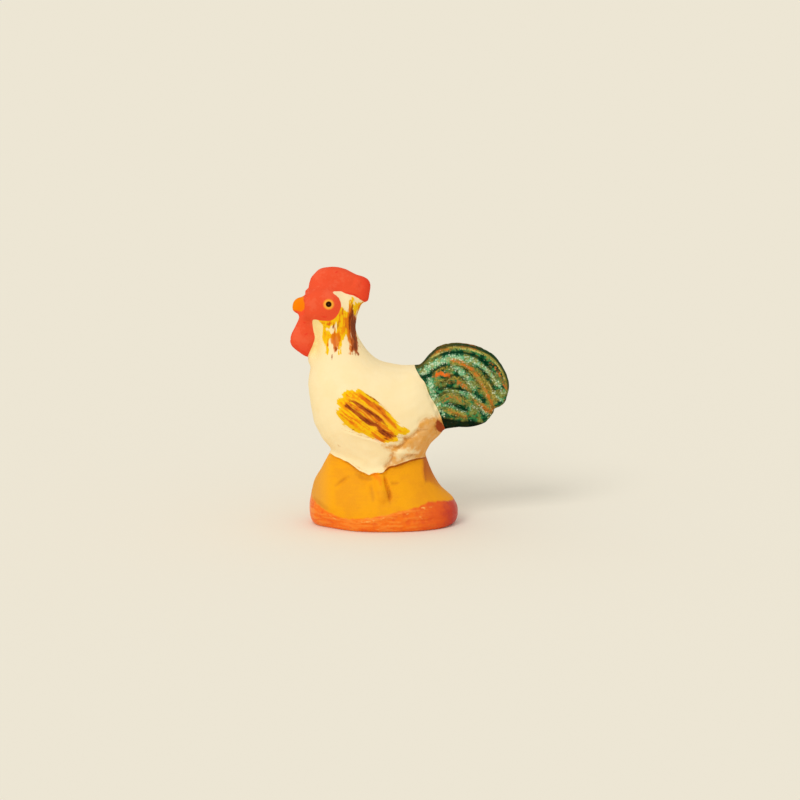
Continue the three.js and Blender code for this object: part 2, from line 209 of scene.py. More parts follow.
def curved(line, steps=5):
    """The line's points with a smooth curve drawn through them."""
    line = np.array(line, float)
    if len(line) < 3:
        return line
    before = np.vstack((2 * line[0] - line[1], line[:-1]))
    after = np.vstack((line[1:], 2 * line[-1] - line[-2]))
    slope = (after - before) / 2
    out = []
    for i in range(len(line) - 1):
        for t in np.arange(steps) / steps:
            a, b = 2 * t**3 - 3 * t**2 + 1, t**3 - 2 * t**2 + t
            out.append(a * line[i] + b * slope[i] + (1 - a) * line[i + 1] + (t**3 - t**2) * slope[i + 1])
    return np.array(out + [line[-1]])


def measured(flat, line, reach):
    """For each point of a drawing: its distance to the line, the side it lies on, and how far along."""
    far = np.full(len(flat), 2.0 * reach)
    side = np.zeros(len(flat))
    along = np.zeros(len(flat))
    steps = np.diff(line, axis=0)
    lengths = np.maximum(np.hypot(steps[:, 0], steps[:, 1]), 1e-6)  # never quite nothing, as it divides
    low, high = line.min(0) - reach, line.max(0) + reach
    near = np.flatnonzero(((flat > low) & (flat < high)).all(1))
    done = 0.0
    for start, step, length in zip(line[:-1], steps, lengths):
        way = step / length
        offset = flat[near] - start
        t = np.clip(offset @ way, 0, length)
        rest = offset - t[:, None] * way
        distance = np.hypot(rest[:, 0], rest[:, 1])
        closer = distance < far[near]
        chosen = near[closer]
        far[chosen] = distance[closer]
        side[chosen] = np.sign(way[0] * offset[closer, 1] - way[1] * offset[closer, 0])
        along[chosen] = (done + t[closer]) / lengths.sum()
        done += length
    return far, side, along


def inside(flat, outline):
    """Distance to the outline, positive inside it."""
    outline = np.array([*outline, outline[0]], float)
    distance = np.minimum(measured(flat, outline, OUTLINE_REACH)[0], OUTLINE_REACH)
    crossings = np.zeros(len(flat), int)
    for (x0, h0), (x1, h1) in zip(outline[:-1], outline[1:]):
        if h0 != h1:
            spans = (flat[:, 1] < h0) != (flat[:, 1] < h1)
            crossings += spans & (flat[:, 0] < x0 + (flat[:, 1] - h0) * (x1 - x0) / (h1 - h0))
    return np.where(crossings % 2 == 1, distance, -distance)


def eased(values, low, high):
    t = np.clip((values - low) / (high - low), 0, 1)
    return t * t * (3 - 2 * t)


# %% [markdown]
# A hand never leaves clay perfectly even. A seeded field of soft swellings stands for that: random numbers
# on a coarse grid, blended smoothly between its corners, so that the result is the same on every run.

# %% Swellings
GRID = 24
swell_grid = np.random.default_rng(40).uniform(-1, 1, (GRID, GRID, GRID))


def swellings(points, size):
    cell = points / size
    corner = np.floor(cell).astype(int)
    t = cell - corner
    t = t * t * (3 - 2 * t)
    total = np.zeros(len(points))
    for step in product((0, 1), repeat=3):
        near = np.abs(1 - np.array(step) - t)
        at = (corner + step) % GRID
        total += near[:, 0] * near[:, 1] * near[:, 2] * swell_grid[at[:, 0], at[:, 1], at[:, 2]]
    return total


# %% [markdown]
# A wet finger takes the flats and edges off the clay. Smoothing moves each point towards the middle of
# its neighbours. It is done a little everywhere, and more where the photograph shows no edge: on the face,
# on the tail under its tool marks, and along the hem, where the belly meets the mound.

# %% Wet finger
HEM = [
    (-9.6, 11.5), (-8.1, 10.8), (-7.2, 10.3), (-6.5, 10.05), (-5.9, 9.7), (-5.2, 9.35), (-4.5, 8.85), (-3.7, 8.2),
    (-2.9, 7.8), (-2.2, 7.5), (-1.6, 7.75), (-0.9, 7.85), (-0.1, 7.85), (0.4, 8.4), (0.9, 8.8), (1.9, 9.05),
    (3.0, 9.45), (4.1, 9.85), (5.1, 10.1), (6.1, 10.25), (7.6, 10.7),
]
FACE = [(-13.0, 37.9), (-9.0, 37.9), (-7.4, 36.4), (-5.4, 34.6), (-5.6, 31.2), (-12.2, 30.8)]
STEP = 0.6  # how much of the way to its neighbours' middle a point goes in one pass
TAIL_ROOT = (7.0, 20.0)
TAIL_LEAN = 0.4


def softened(obj, weight, passes):
    points = places(obj)
    ends = np.empty(len(obj.data.edges) * 2, np.int32)
    obj.data.edges.foreach_get("vertices", ends)
    first, second = ends.reshape(-1, 2).T
    neighbours = np.bincount(ends, minlength=len(points))
    for _ in range(passes):
        for axis in range(3):
            total = np.bincount(first, points[second, axis], len(points))
            total += np.bincount(second, points[first, axis], len(points))
            points[:, axis] += STEP * weight * (total / neighbours - points[:, axis])
    put(obj, points)


def tail_side(flat):
    """How far a point lies beyond the tail's root."""
    return flat[:, 0] + TAIL_LEAN * (flat[:, 1] - TAIL_ROOT[1]) - TAIL_ROOT[0]


drawn = side_view(places(clay))
for weight, passes in (
    (np.ones(len(drawn)), 5),
    (eased(inside(drawn, FACE), -0.6, 0.6), 61),
    (eased(tail_side(drawn), 0.0, 2.0), 11),
    (1 - eased(measured(drawn, curved(HEM), 3.0)[0], 1.0, 2.0), 24),
):
    softened(clay, weight, passes)
    print("smoothed", np.count_nonzero(weight), "points", passes, "times")

# %% [markdown]
# Here and there the outline still wants a push. A push takes hold of the clay round one spot of the side
# view and moves it a fraction of a millimetre, less and less with the distance, as a thumb does.

# %% Thumb pushes
PUSHES = [
    # spot, push, reach
    ((-12.4, 35.9), (0.55, -0.15), 0.9),  # brow
    ((-13.3, 33.9), (0.2, 0.38), 1.1),  # beak
    ((-14.0, 28.3), (-0.15, 0.0), 1.2),  # wattle
    ((-11.9, 26.2), (0.1, -0.25), 0.7),  # wattle's tip
    ((-10.75, 38.7), (0.25, -0.2), 1.0),  # comb's front
    ((-8.5, 40.0), (0.0, -0.12), 1.5),  # comb's top
    ((-4.8, 38.7), (0.0, -0.2), 1.3),  # comb's top towards the rear
    ((-2.1, 37.4), (0.2, 0.0), 1.2),  # comb's rear
    ((-2.9, 34.8), (0.32, -0.28), 0.9),  # comb's lower end on the nape
    ((9.5, 28.2), (0.0, -0.3), 2.6),  # tail's crown
    ((13.6, 28.0), (0.0, -0.22), 3.0),  # tail's crown towards the rear
    ((18.3, 18.8), (0.25, -0.1), 1.0),  # tail's rear corner
    ((17.0, 17.7), (-0.25, 0.2), 0.45),  # the notch below it
    ((15.9, 15.5), (0.28, -0.12), 0.9),  # the covert's tip
    ((11.2, 14.7), (0.0, 0.28), 1.6),  # tail's underside
    ((7.6, 12.4), (-0.45, 0.15), 1.4),  # rump
    ((-11.3, 4.5), (0.2, 0.0), 2.5),  # mound's front
]
PINCH = 0.22  # the mound's front corners are pinched in by this share
PINCH_AT = -9.0
PINCH_REACH = (3, 2)  # along and up
FACE_FRONT = -11.9  # two thumbs press the face back to here, one on each side of the beak
FACE_PRESS = 0.9
BESIDE_BEAK = (0.6, 1.5)  # how far from the middle the press begins, and is full
FACE_LOW = (32.3, 33.3)  # the heights at which it begins, and is full
FACE_TOP = (35.3, 36.5)  # the heights at which it begins to fade, and is gone


def pushed(obj, pushes):
    points = places(obj)
    flat = side_view(points)
    for spot, push, reach in pushes:
        share = np.exp(-((flat - spot) ** 2).sum(1) / reach**2)
        points[:, 0] += share * push[0]
        points[:, 2] += share * push[1]
    along, up = PINCH_REACH
    corner = np.exp(-(((points[:, 0] - PINCH_AT) / along) ** 2) - (points[:, 2] / up) ** 2)
    points[:, 1] *= 1 - PINCH * corner
    beside = eased(np.abs(points[:, 1]), *BESIDE_BEAK)
    beside *= eased(points[:, 2], *FACE_LOW) * (1 - eased(points[:, 2], *FACE_TOP))
    points[:, 0] -= np.minimum(points[:, 0] - FACE_FRONT, 0) * FACE_PRESS * beside
    put(obj, points)


pushed(clay, PUSHES)
print(len(PUSHES), "pushes")

# %% [markdown]
# The tool's marks. A round mark is a groove or a ridge along a line. A ledge is steep on the right-hand
# side of its line and falls away slowly on the left-hand side. Each mark moves the clay along the
# surface's own direction, and fades where the surface turns away from the side view, so that it doesn't
# smear there. A mark is written as its width, its height and its line, and a ledge with that word after
# them.

# %% Tool marks
ROUND_REACH = 3.0  # in widths of the mark, as are the other three
LEDGE_REACH = 7.0
LEDGE_SLOW = 2.0
LEDGE_STEEP = 0.4


def mark_heights(flat, marks):
    total = np.zeros(len(flat))
    for width, height, line, *ledge in marks:
        reach = (LEDGE_REACH if ledge else ROUND_REACH) * width
        far, side, along = measured(flat, curved(line), reach)
        ends = eased(along, -0.02, 0.25) * eased(1 - along, -0.02, 0.25)
        profile = np.exp(-((far / width) ** 2))
        if ledge:
            slow = np.exp(-far / (LEDGE_SLOW * width)) * eased(reach - far, 0, reach / 2)
            profile = np.where(side > 0, slow, np.exp(-((far / (LEDGE_STEEP * width)) ** 2)))
        total += np.where(far < reach, height * profile * ends, 0)
    return total


def worked(obj, marks):
    points = places(obj)
    facing = facings(obj)
    outwards = np.sign(points[:, 1]) * facing[:, 1] * math.cos(LOOK_DOWN)
    seen = eased(outwards + facing[:, 2] * math.sin(LOOK_DOWN), 0.1, 0.5)
    put(obj, points + facing * (mark_heights(side_view(points), marks) * seen)[:, None])
    print(len(marks), "tool marks")


# %% [markdown]
# The belly has a hem, a ledge where the breast's feathers end, and creases where the thigh was pressed on.
# The wing has shallow grooves and ridges beside its brush strokes, and the comb has two dents. A bump in the
# material could suggest them, but it would vanish at the outline, so they are pressed into the clay.

# %% Work the belly, the wings and the comb
BODY_MARKS = [
    (0.42, 0.4, [(1.3, 11.8), (0.1, 12.3), (-1.3, 12.9), (-3.1, 13.5), (-4.7, 14.0), (-6.5, 14.7)], "ledge"),
    (0.14, -0.14, [
        (2.3, 11.8), (1.4, 11.9), (0.3, 12.3), (-1.1, 13.0), (-3.0, 13.5), (-4.5, 14.0), (-5.7, 14.4), (-6.5, 14.8),
    ]),
    (0.32, -0.42, [(0.7, 12.2), (1.5, 11.8), (2.3, 11.7), (3.0, 12.3), (3.6, 12.9), (4.2, 13.0)]),
    (0.32, -0.4, [(2.4, 13.3), (3.6, 13.1), (4.5, 13.6), (5.3, 14.3), (6.5, 14.5)]),
    (0.25, 0.22, [(1.3, 12.8), (2.2, 13.0), (3.3, 12.8)]),
    (0.4, -0.34, [(1.5, 11.0), (1.2, 10.0), (0.7, 9.2), (0.2, 8.7)]),
    (0.5, 0.32, [(1.7, 10.8), (3.0, 11.1), (4.9, 11.2)]),
    (0.3, -0.3, [(2.7, 10.0), (3.9, 10.5), (5.2, 10.75)]),
    (0.3, -0.16, [(5.3, 14.9), (5.6, 15.9), (6.5, 16.4), (8.0, 16.5)]),
    (0.5, 0.2, [(5.4, 13.2), (6.4, 12.6), (7.0, 11.8)]),
    (0.4, 0.18, [(6.4, 15.6), (7.2, 15.2), (7.6, 14.4)]),
    (0.3, -0.2, [(7.7, 15.3), (8.0, 14.5), (8.1, 13.8)]),
    (0.35, -0.14, [(-0.6, 8.9), (0.2, 9.1), (1.1, 9.1)]),
    (0.7, 0.2, [(-3.6, 9.6), (-1.6, 9.2), (-0.4, 9.8)]),
    (0.15, -0.1, [(-5.0, 9.55), (-3.9, 8.75), (-3.1, 8.35), (-2.3, 8.05)]),
    (0.4, 0.4, HEM, "ledge"),
]
WING_MARKS = [
    (0.22, -0.14, [(-2.0, 19.2), (-0.6, 18.5), (0.6, 17.4), (1.9, 15.7)]),
    (0.22, 0.1, [(-3.2, 19.1), (-0.9, 17.3), (1.0, 15.5), (2.0, 14.4)]),
    (0.22, -0.14, [(-5.1, 19.0), (-4.0, 18.6), (-3.0, 17.9), (-2.1, 17.2), (-1.1, 16.5), (0.7, 15.0)]),
    (0.2, 0.12, [(-4.0, 17.7), (-2.6, 16.9), (-1.2, 15.7), (-0.4, 15.2), (0.6, 14.4)]),
    (0.22, -0.14, [(-5.6, 18.3), (-4.7, 17.6), (-3.7, 16.9), (-2.9, 16.1), (-1.2, 15.3), (0.0, 14.1)]),
    (0.22, -0.25, [(-0.4, 14.6), (0.5, 14.0), (1.8, 13.4)]),
    (0.35, 0.15, [(-1.8, 14.4), (-0.9, 13.8), (0.3, 12.7)]),
]
COMB_MARKS = [
    (0.35, -0.14, [(-4.2, 38.4), (-4.9, 36.6)]),
    (0.3, -0.12, [(-3.2, 37.6), (-3.6, 36.2)]),
]
worked(clay, BODY_MARKS + WING_MARKS + COMB_MARKS)

# %% [markdown]
# The tail's feathers have raised spines with grooves cut between them, which run from the root to the tips.
# The tail is glossy and shows each of them, so they are the deepest marks on the bird.

# %% Work the tail
TAIL_MARKS = [
    (0.3, 0.2, [(5.8, 24.7), (8.1, 26.6), (10.9, 27.3), (14.0, 26.8), (16.6, 25.5), (18.2, 23.2), (18.8, 21.2)]),
    (0.24, -0.3, [(6.6, 24.9), (8.5, 26.0), (10.0, 26.5), (12.9, 26.3), (15.1, 25.2), (16.5, 23.6), (17.4, 21.8)]),
    (0.5, 0.3, [(5.8, 23.2), (7.7, 24.6), (10.0, 25.6), (12.1, 25.6), (14.9, 24.3), (16.5, 22.9), (18.0, 20.6)]),
    (0.22, -0.24, [(13.2, 24.9), (14.6, 24.0), (15.8, 22.8), (16.8, 21.0), (17.4, 19.8)]),
    (0.36, 0.4, [(10.4, 25.2), (12.4, 24.6), (14.0, 23.3), (15.1, 21.3), (16.1, 19.5), (16.6, 17.7)]),
    (0.12, -0.16, [(11.6, 24.7), (13.0, 23.6), (14.0, 22.3), (14.9, 21.0), (15.5, 19.8)]),
    (0.12, -0.14, [(12.0, 25.2), (13.4, 24.4), (14.6, 23.0), (15.6, 21.2), (16.4, 19.4)]),
    (0.28, -0.34, [(5.4, 22.8), (6.6, 22.9), (7.6, 23.6), (8.8, 24.4), (10.2, 24.7)]),
    (0.4, 0.36, [(7.7, 22.9), (8.5, 23.2), (9.5, 23.2), (10.3, 22.9)]),
    (0.2, -0.26, [(8.0, 22.2), (9.1, 21.8), (9.9, 22.6), (10.8, 23.0), (12.0, 22.5), (13.2, 21.4)]),
    (0.36, 0.4, [(10.0, 22.0), (10.9, 22.1), (11.7, 21.8), (12.6, 21.1), (13.3, 20.5)]),
    (0.22, -0.36, [(8.1, 20.5), (8.9, 20.9), (9.5, 21.1), (10.6, 20.95), (12.0, 20.7), (13.3, 20.1)]),
    (0.22, 0.24, [(9.2, 20.6), (10.6, 20.45), (11.8, 20.3), (12.9, 20.0), (14.0, 19.4)]),
    (0.32, 0.34, [(9.0, 18.8), (9.5, 19.4), (10.4, 19.7), (11.3, 19.4), (12.1, 18.7), (12.8, 18.3)]),
    (0.25, -0.32, [(9.1, 18.5), (10.2, 18.5), (11.3, 18.1), (12.4, 17.6), (13.3, 17.5)]),
    (0.26, 0.3, [(10.0, 18.0), (10.9, 17.7), (11.5, 17.2), (12.2, 16.8), (13.0, 16.4)]),
    (0.34, 0.26, [(14.0, 19.2), (14.9, 18.5), (15.6, 18.0), (16.5, 17.4)]),
    (0.3, -0.2, [(13.4, 18.4), (14.6, 17.4), (15.4, 16.6)]),
    (0.3, 0.12, [(7.0, 22.0), (7.3, 20.8), (7.8, 19.4), (8.6, 17.6)]),
]
worked(clay, TAIL_MARKS)

# %% [markdown]
# On the mound a rolled leg stands out with a deep groove behind it, and thumb marks lie round the rim. They
# are made last, below the hem, with the same marks as the bird's.

# %% Work the mound
MOUND_MARKS = [
    (0.8, 0.26, [(-0.9, 8.2), (-0.7, 6.5), (-0.4, 4.6), (-0.2, 2.8)]),
    (0.24, -0.5, [(0.2, 7.7), (0.4, 6.4), (0.8, 5.1), (1.0, 4.3), (0.95, 3.0)]),
    (0.4, -0.14, [(-1.9, 7.4), (-1.8, 6.2), (-1.6, 4.6)]),
    (0.3, -0.24, [(-7.3, 5.6), (-6.3, 6.5), (-5.3, 7.2)]),
    (0.25, -0.2, [(1.2, 6.2), (1.8, 6.1), (2.4, 6.3)]),
    (0.5, -0.2, [(-3.8, 7.5), (-2.8, 6.9), (-2.0, 6.8)]),
    (0.4, 0.3, [(6.3, 5.8), (6.2, 6.7), (6.0, 8.0), (6.0, 10.2)], "ledge"),
    (0.45, -0.16, [(-10.4, 3.4), (-9.5, 2.6), (-8.6, 1.9), (-7.0, 1.2)]),
    (0.3, 0.14, [(-4.2, 0.1), (-1.5, 0.4), (0.8, 1.0), (3.4, 1.6), (5.8, 2.3)]),
    (0.25, -0.14, [(2.4, -0.2), (4.6, 0.3), (6.6, 0.3), (8.8, 0.9)]),
]
worked(clay, MOUND_MARKS)

# %% [markdown]
# The hand's unevenness goes over everything last: broad swellings, and on the tail smaller ones too,
# because there the clay was left rougher. The flat underside stays flat.

# %% Hand-pressed unevenness
BROAD = 0.07
BROAD_SIZE = 3.1
ROUGH_BIRD = 0.014
ROUGHER_TAIL = 0.045  # on top of the bird's
ROUGH_SIZE = 0.55

spots = places(clay)
rough = ROUGH_BIRD + ROUGHER_TAIL * eased(tail_side(side_view(spots)), 0.0, 1.5)
lift = BROAD * swellings(spots, BROAD_SIZE) + rough * swellings(spots, ROUGH_SIZE)
lift *= eased(spots[:, 2], 0.1, 1.0)
put(clay, spots + facings(clay) * lift[:, None])
print("unevenness of up to", round(float(abs(lift).max()), 2), "mm")

# %% [markdown]
# The real bird is fired as one, but each clay form stays a piece of its own here. First three blades part
# the lump where the paint parts it: along the hem, below which the mound begins, along the tail's root, and
# round the beak's root. A blade is an outline drawn on the side view and pushed through from side to side.

# %% Cut with blades
REACH = 12.0
FRONT, REAR, TOP, UNDER = -16, 26, 34, -3  # well outside the clay, as are the other corners
WAVER, WAVER_SIZE = 0.06, 0.9  # a brush doesn't follow the hem exactly
BEAK_HALF = 1.6  # half of the beak's width at its root
ROOT_LINE = [
    (4.3, 26.0), (4.8, 24.3), (5.1, 23.6), (5.6, 22.7), (6.3, 21.8), (6.7, 20.6), (7.2, 19.5), (7.7, 18.7),
    (8.3, 17.6), (8.7, 16.6), (9.0, 15.6), (9.4, 14.6), (9.8, 13.6),
]
BEAK_ROOT = [
    (-12.15, 35.3), (-11.85, 34.9), (-11.75, 34.3), (-11.85, 33.5), (-12.2, 33.0), (-12.7, 32.75), (-16.0, 32.0),
    (-16.0, 36.5), (-13.0, 35.6),
]


def blade(outline, slope, reach=REACH):
    """A block with this outline. Its lines follow the side view's slope on both sides of the middle."""
    ring = len(outline)
    corners = [(x, y, h + slope * abs(y)) for y in (-reach, 0.0, reach) for x, h in outline]
    faces = [list(range(ring))[::-1], list(range(2 * ring, 3 * ring))]
    for row in (0, ring):
        for i in range(ring):
            j = (i + 1) % ring
            faces.append((row + i, row + j, row + ring + j, row + ring + i))
    mesh = bpy.data.meshes.new("blade")
    mesh.from_pydata(corners, [], faces)
    tool = placed("blade", mesh)
    with editing(tool):
        bpy.ops.mesh.quads_convert_to_tris()
        bpy.ops.mesh.normals_make_consistent(inside=False)
    return tool


def parted(whole, tool, name):
    """What the tool takes out of the whole, as a piece of its own."""
    piece = placed(name, whole.data.copy())
    modify(piece, "BOOLEAN", operation="INTERSECT", object=tool, solver="MANIFOLD")
    modify(whole, "BOOLEAN", operation="DIFFERENCE", object=tool, solver="MANIFOLD")
    bpy.data.objects.remove(tool)
    print(name, len(piece.data.polygons), "faces, left", len(whole.data.polygons))
    return piece


hem_line = curved(HEM)
hem_line[:, 1] += WAVER * swellings(np.column_stack((hem_line, hem_line[:, 0])), WAVER_SIZE)
below_hem = [(FRONT, hem_line[0][1]), *hem_line, (22, hem_line[-1][1]), (22, UNDER), (FRONT, UNDER)]
behind_root = [*curved(ROOT_LINE), (24, 12), (24, 30), (4.6, 30)]
pieces = {"mound": parted(clay, blade(below_hem, SLOPE), "mound_clay")}
tail_block = parted(clay, blade(behind_root, SLOPE), "tail_block")
pieces["beak"] = parted(clay, blade(BEAK_ROOT, SLOPE, BEAK_HALF), "beak_clay")

# %% [markdown]
# The tail's block is cut between its feathers. The CAD forms say where: halfway between two feathers lies
# the slip joint, and the points of one that face the other draw it. Seen from a spot below the tail, each
# joint runs steadily from the root to the tip, so its points can be put in order by their direction.

# %% Part the feathers
SLIP = 0.42  # joints are a little narrower than this
BELOW_TAIL = (4.0, 8.0)
JOINT_POINTS = 9
PAST_ROOT, PAST_TIP = 4, 2.5  # how far a blade goes on past the joint, in steps of its line


def merged_points(node):
    form = lump(node)
    points = places(form)
    bpy.data.objects.remove(form)
    return points


def slip_line(upper, lower):
    """The joint between two feathers, from root to tip, on the side view without its slope."""
    others = merged_points(lower)
    tree = KDTree(len(others))
    for i, point in enumerate(others):
        tree.insert(point, i)
    tree.balance()
    joint = []
    for point in merged_points(upper):
        near, _, distance = tree.find(point)
        if distance < SLIP:
            joint.append(((point[0] + near[0]) / 2, (point[2] + near[2]) / 2))
    joint = np.array(joint)
    bearing = -np.arctan2(joint[:, 1] - BELOW_TAIL[1], joint[:, 0] - BELOW_TAIL[0])
    rows = np.array_split(joint[np.argsort(bearing)], JOINT_POINTS)
    return np.array([row.mean(0) for row in rows])


for upper, lower in zip(TAIL_FORMS[:-1], TAIL_FORMS[1:]):
    line = slip_line(upper, lower)
    start = line[0] + (line[0] - line[1]) * PAST_ROOT
    end = line[-1] + (line[-1] - line[-2]) * PAST_TIP
    outer = [start, *line, end, (REAR, end[1]), (REAR, TOP), (start[0], TOP)]
    pieces[upper] = parted(tail_block, blade(outer, 0.0), upper + "_clay")
pieces[TAIL_FORMS[-1]] = tail_block

# %% [markdown]
# The other forms are cut out of the bird by their own CAD forms, grown a little so that they reach past
# the surface. What no form takes is the body. The pieces come out of one surface, so they meet without a
# gap.

# %% Cut the other forms
CUTTER_FACE = FINE * 1.6
GROWN = 0.3
EYE_GROWN = 0.12  # an eye sits in its socket, with no more of the face than this


def cutter(node, by):
    tool = grown(remeshed(lump(node), CUTTER_FACE), by)
    tool.name = "cutter_" + node
    return tool


CUTS = [(f"{side}_eye", EYE_GROWN) for side in SIDES] + [("comb", GROWN)]
CUTS += [(f"{side}_{form}", GROWN) for form in ("wattle", "face_pad", "wing") for side in SIDES]
for node, by in CUTS:
    pieces[node] = parted(clay, cutter(node, by), node + "_clay")
pieces["body"] = clay
for side in SIDES:
    pieces[f"{side}_leg"] = parted(pieces["mound"], cutter(f"{side}_leg", GROWN), f"{side}_leg_clay")

# %% [markdown]
# Where two cuts run almost along each other, they leave faces with no width and thin loose flakes, as a knife
# leaves crumbs. Both go, and what holes they leave are filled.

# %% Clear the crumbs
CRUMB = 200  # a loose lump with fewer faces is a flake
NO_WIDTH = 0.0006  # in millimetres


def without_crumbs(piece):
    with editing(piece):
        bpy.ops.mesh.dissolve_degenerate(threshold=NO_WIDTH)
        bpy.ops.mesh.select_all(action="SELECT")
        bpy.ops.mesh.fill_holes(sides=0)  # of any size
        bpy.ops.mesh.select_all(action="SELECT")
        bpy.ops.mesh.separate(type="LOOSE")
    lumps = list(bpy.context.selected_objects)
    kept = [part for part in lumps if len(part.data.polygons) >= CRUMB]
    print(piece.name, "has", len(lumps), "lumps, kept", len(kept))
    for part in lumps:
        if part not in kept:
            bpy.data.objects.remove(part)
    only(kept[0])
    for part in kept[1:]:
        part.select_set(True)
    if len(kept) > 1:
        bpy.ops.object.join()
    return kept[0]


pieces = {node: without_crumbs(piece) for node, piece in pieces.items()}

# %% [markdown]
# Painting begins with where each colour goes. A brush stroke is a line with a width at its start, middle
# and end, and the end's is left out where it equals the start's. A paint layer is a number on every point
# of the surface, in millimetres: above zero the paint covers, and the number says how far its edge is. The
# material later breaks that edge up as bristles do, so the edge stays crisp however close one looks.

# %% Paint layers
STROKE_REACH = 1.2


def stroked(flat, strokes):
    layer = np.full(len(flat), -1.0)
    for widths, line in strokes:
        far, _, along = measured(flat, curved(line), STROKE_REACH)
        widths = (widths + widths[:1])[:3]
        layer = np.maximum(layer, np.interp(along, (0, 0.5, 1), widths) - np.minimum(far, STROKE_REACH))
    return layer


# %% [markdown]
# The neck's strokes run down all round it, so they are drawn on the neck unrolled: across is the way round
# from the nape in millimetres, and up is the height. A stroke is written with degrees round from the nape.

# %% Neck strokes
NECK_AXIS = -7.2
NECK_RADIUS = 3.3
PER_DEGREE = NECK_RADIUS * math.pi / 180
NECK_FROM, NECK_TO = 24.0, 36.5
OFF_NECK = -9.0  # where no stroke reaches


def neck_view(points):
    turn = np.arctan2(np.abs(points[:, 1]), points[:, 0] - NECK_AXIS)
    on_neck = (points[:, 2] > NECK_FROM) & (points[:, 2] < NECK_TO)
    return np.column_stack((np.where(on_neck, turn * NECK_RADIUS, OFF_NECK), points[:, 2]))


def unrolled(line):
    return [(degrees * PER_DEGREE, up) for degrees, up in line]


NECK_YELLOW_PATCHES = [
    [
        (129, 32.0), (126, 31.3), (126, 30.5), (129, 29.6), (126, 28.8), (120, 28.2), (117, 27.4), (117, 26.6),
        (112, 26.6), (109, 27.3), (112, 28.2), (111, 29.0), (105, 29.3), (98, 29.1), (93, 29.8), (99, 30.0),
        (105, 30.2), (110, 30.5), (114, 30.7), (106, 31.2), (94, 31.4), (87, 31.9), (82, 32.8), (100, 32.9),
        (118, 32.5),
    ],
    [
        (79, 34.3), (88, 33.4), (94, 32.5), (88, 31.4), (92, 30.4), (94, 29.8), (87, 29.4), (82, 28.7), (82, 27.8),
        (84, 27.2), (80, 27.0), (76, 28.0), (71, 28.9), (66, 29.5), (61, 29.8), (59, 29.2), (54, 29.4), (47, 30.5),
        (48, 32.1), (54, 33.4), (66, 33.7),
    ],
    [(40, 35.5), (33, 35.3), (38, 34.8), (46, 34.4), (44, 33.6), (50, 32.8), (58, 33.4), (53, 34.7)],
    [
        (35, 34.8), (27, 34.6), (8, 34.5), (-8, 34.2), (-8, 33.2), (8, 32.9), (24, 33.4), (28, 32.6), (37, 32.8),
        (42, 34.0),
    ],
]
NECK_ORANGE_PATCHES = [
    [
        (45, 35.2), (54, 34.4), (59, 33.7), (61, 32.7), (63, 32.1), (65, 31.3), (61, 30.4), (60, 29.6), (58, 28.8),
        (57, 28.2), (60, 27.5), (61, 26.9), (55, 26.9), (50, 27.5), (44, 28.5), (44, 30.0), (46, 31.5), (45, 33.0),
        (48, 34.0),
    ],
    [
        (105, 29.9), (106, 29.1), (103, 28.6), (97, 28.3), (91, 27.4), (86, 28.1), (81, 28.8), (76, 29.4), (78, 29.9),
        (87, 30.3), (96, 30.2),
    ],
]
NECK_BROWN_PATCHES = [
    [
        (49, 33.4), (53, 32.8), (53, 32.0), (53, 31.1), (49, 30.4), (48, 29.6), (50, 28.8), (54, 28.1), (57, 27.4),
        (57, 26.9), (53, 26.9), (48, 27.4), (45, 26.7), (41, 26.5), (38, 27.2), (31, 27.6), (24, 28.4), (18, 29.0),
        (8, 29.6), (-6, 30.4), (-6, 31.2), (8, 31.9), (22, 32.4), (36, 32.8), (43, 33.6),
    ],
]
NECK_YELLOW = [
    ((0.1, 0.2), [(45, 34.6), (40, 34.2), (34, 33.8)]),
]
NECK_ORANGE = [
    ((0.05, 0.2, 0.08), [(69, 33.9), (73, 33.4), (69, 32.7), (64, 31.9), (61, 31.0)]),
    ((0.1, 0.22), [(10, 34.7), (16, 33.9), (22, 33.4), (24, 32.8), (30, 32.3)]),
    ((0.1, 0.2), [(127, 31.8), (116, 31.6), (104, 31.7), (92, 31.9)]),
    ((0.03, 0.1), [(92, 31.2), (90, 30.2), (94, 29.2)]),
    ((0.05, 0.14), [(21, 28.0), (26, 27.4)]),
    ((0.03, 0.1), [(80, 33.0), (78, 31.6), (75, 30.4)]),
    ((0.03, 0.08), [(118, 30.2), (114, 29.2), (113, 28.2)]),
]
NECK_BROWN = [
    ((0.05, 0.12), [(46, 35.0), (45, 34.4), (48, 33.8), (45, 33.0)]),
    ((0.05, 0.16, 0.1), [(12, 33.4), (16, 33.1), (22, 32.6)]),
    ((0.1, 0.18, 0.05), [(120, 31.3), (116, 31.1), (114, 30.8)]),
    ((0.08, 0.17, 0.05), [(98, 31.05), (95, 31.4), (92, 31.85)]),
    ((0.03, 0.09, 0.0), [(87, 30.9), (85, 31.5), (83, 32.2)]),
    ((0.03, 0.08), [(69, 33.9), (71, 33.4), (69, 33.0)]),
    ((0.05, 0.12, 0.0), [(90, 28.3), (90, 27.5)]),
    ((0.03, 0.08), [(63, 31.6), (60, 30.6)]),
    ((0.03, 0.06, 0.02), [(99, 26.9), (97, 26.2)]),
]
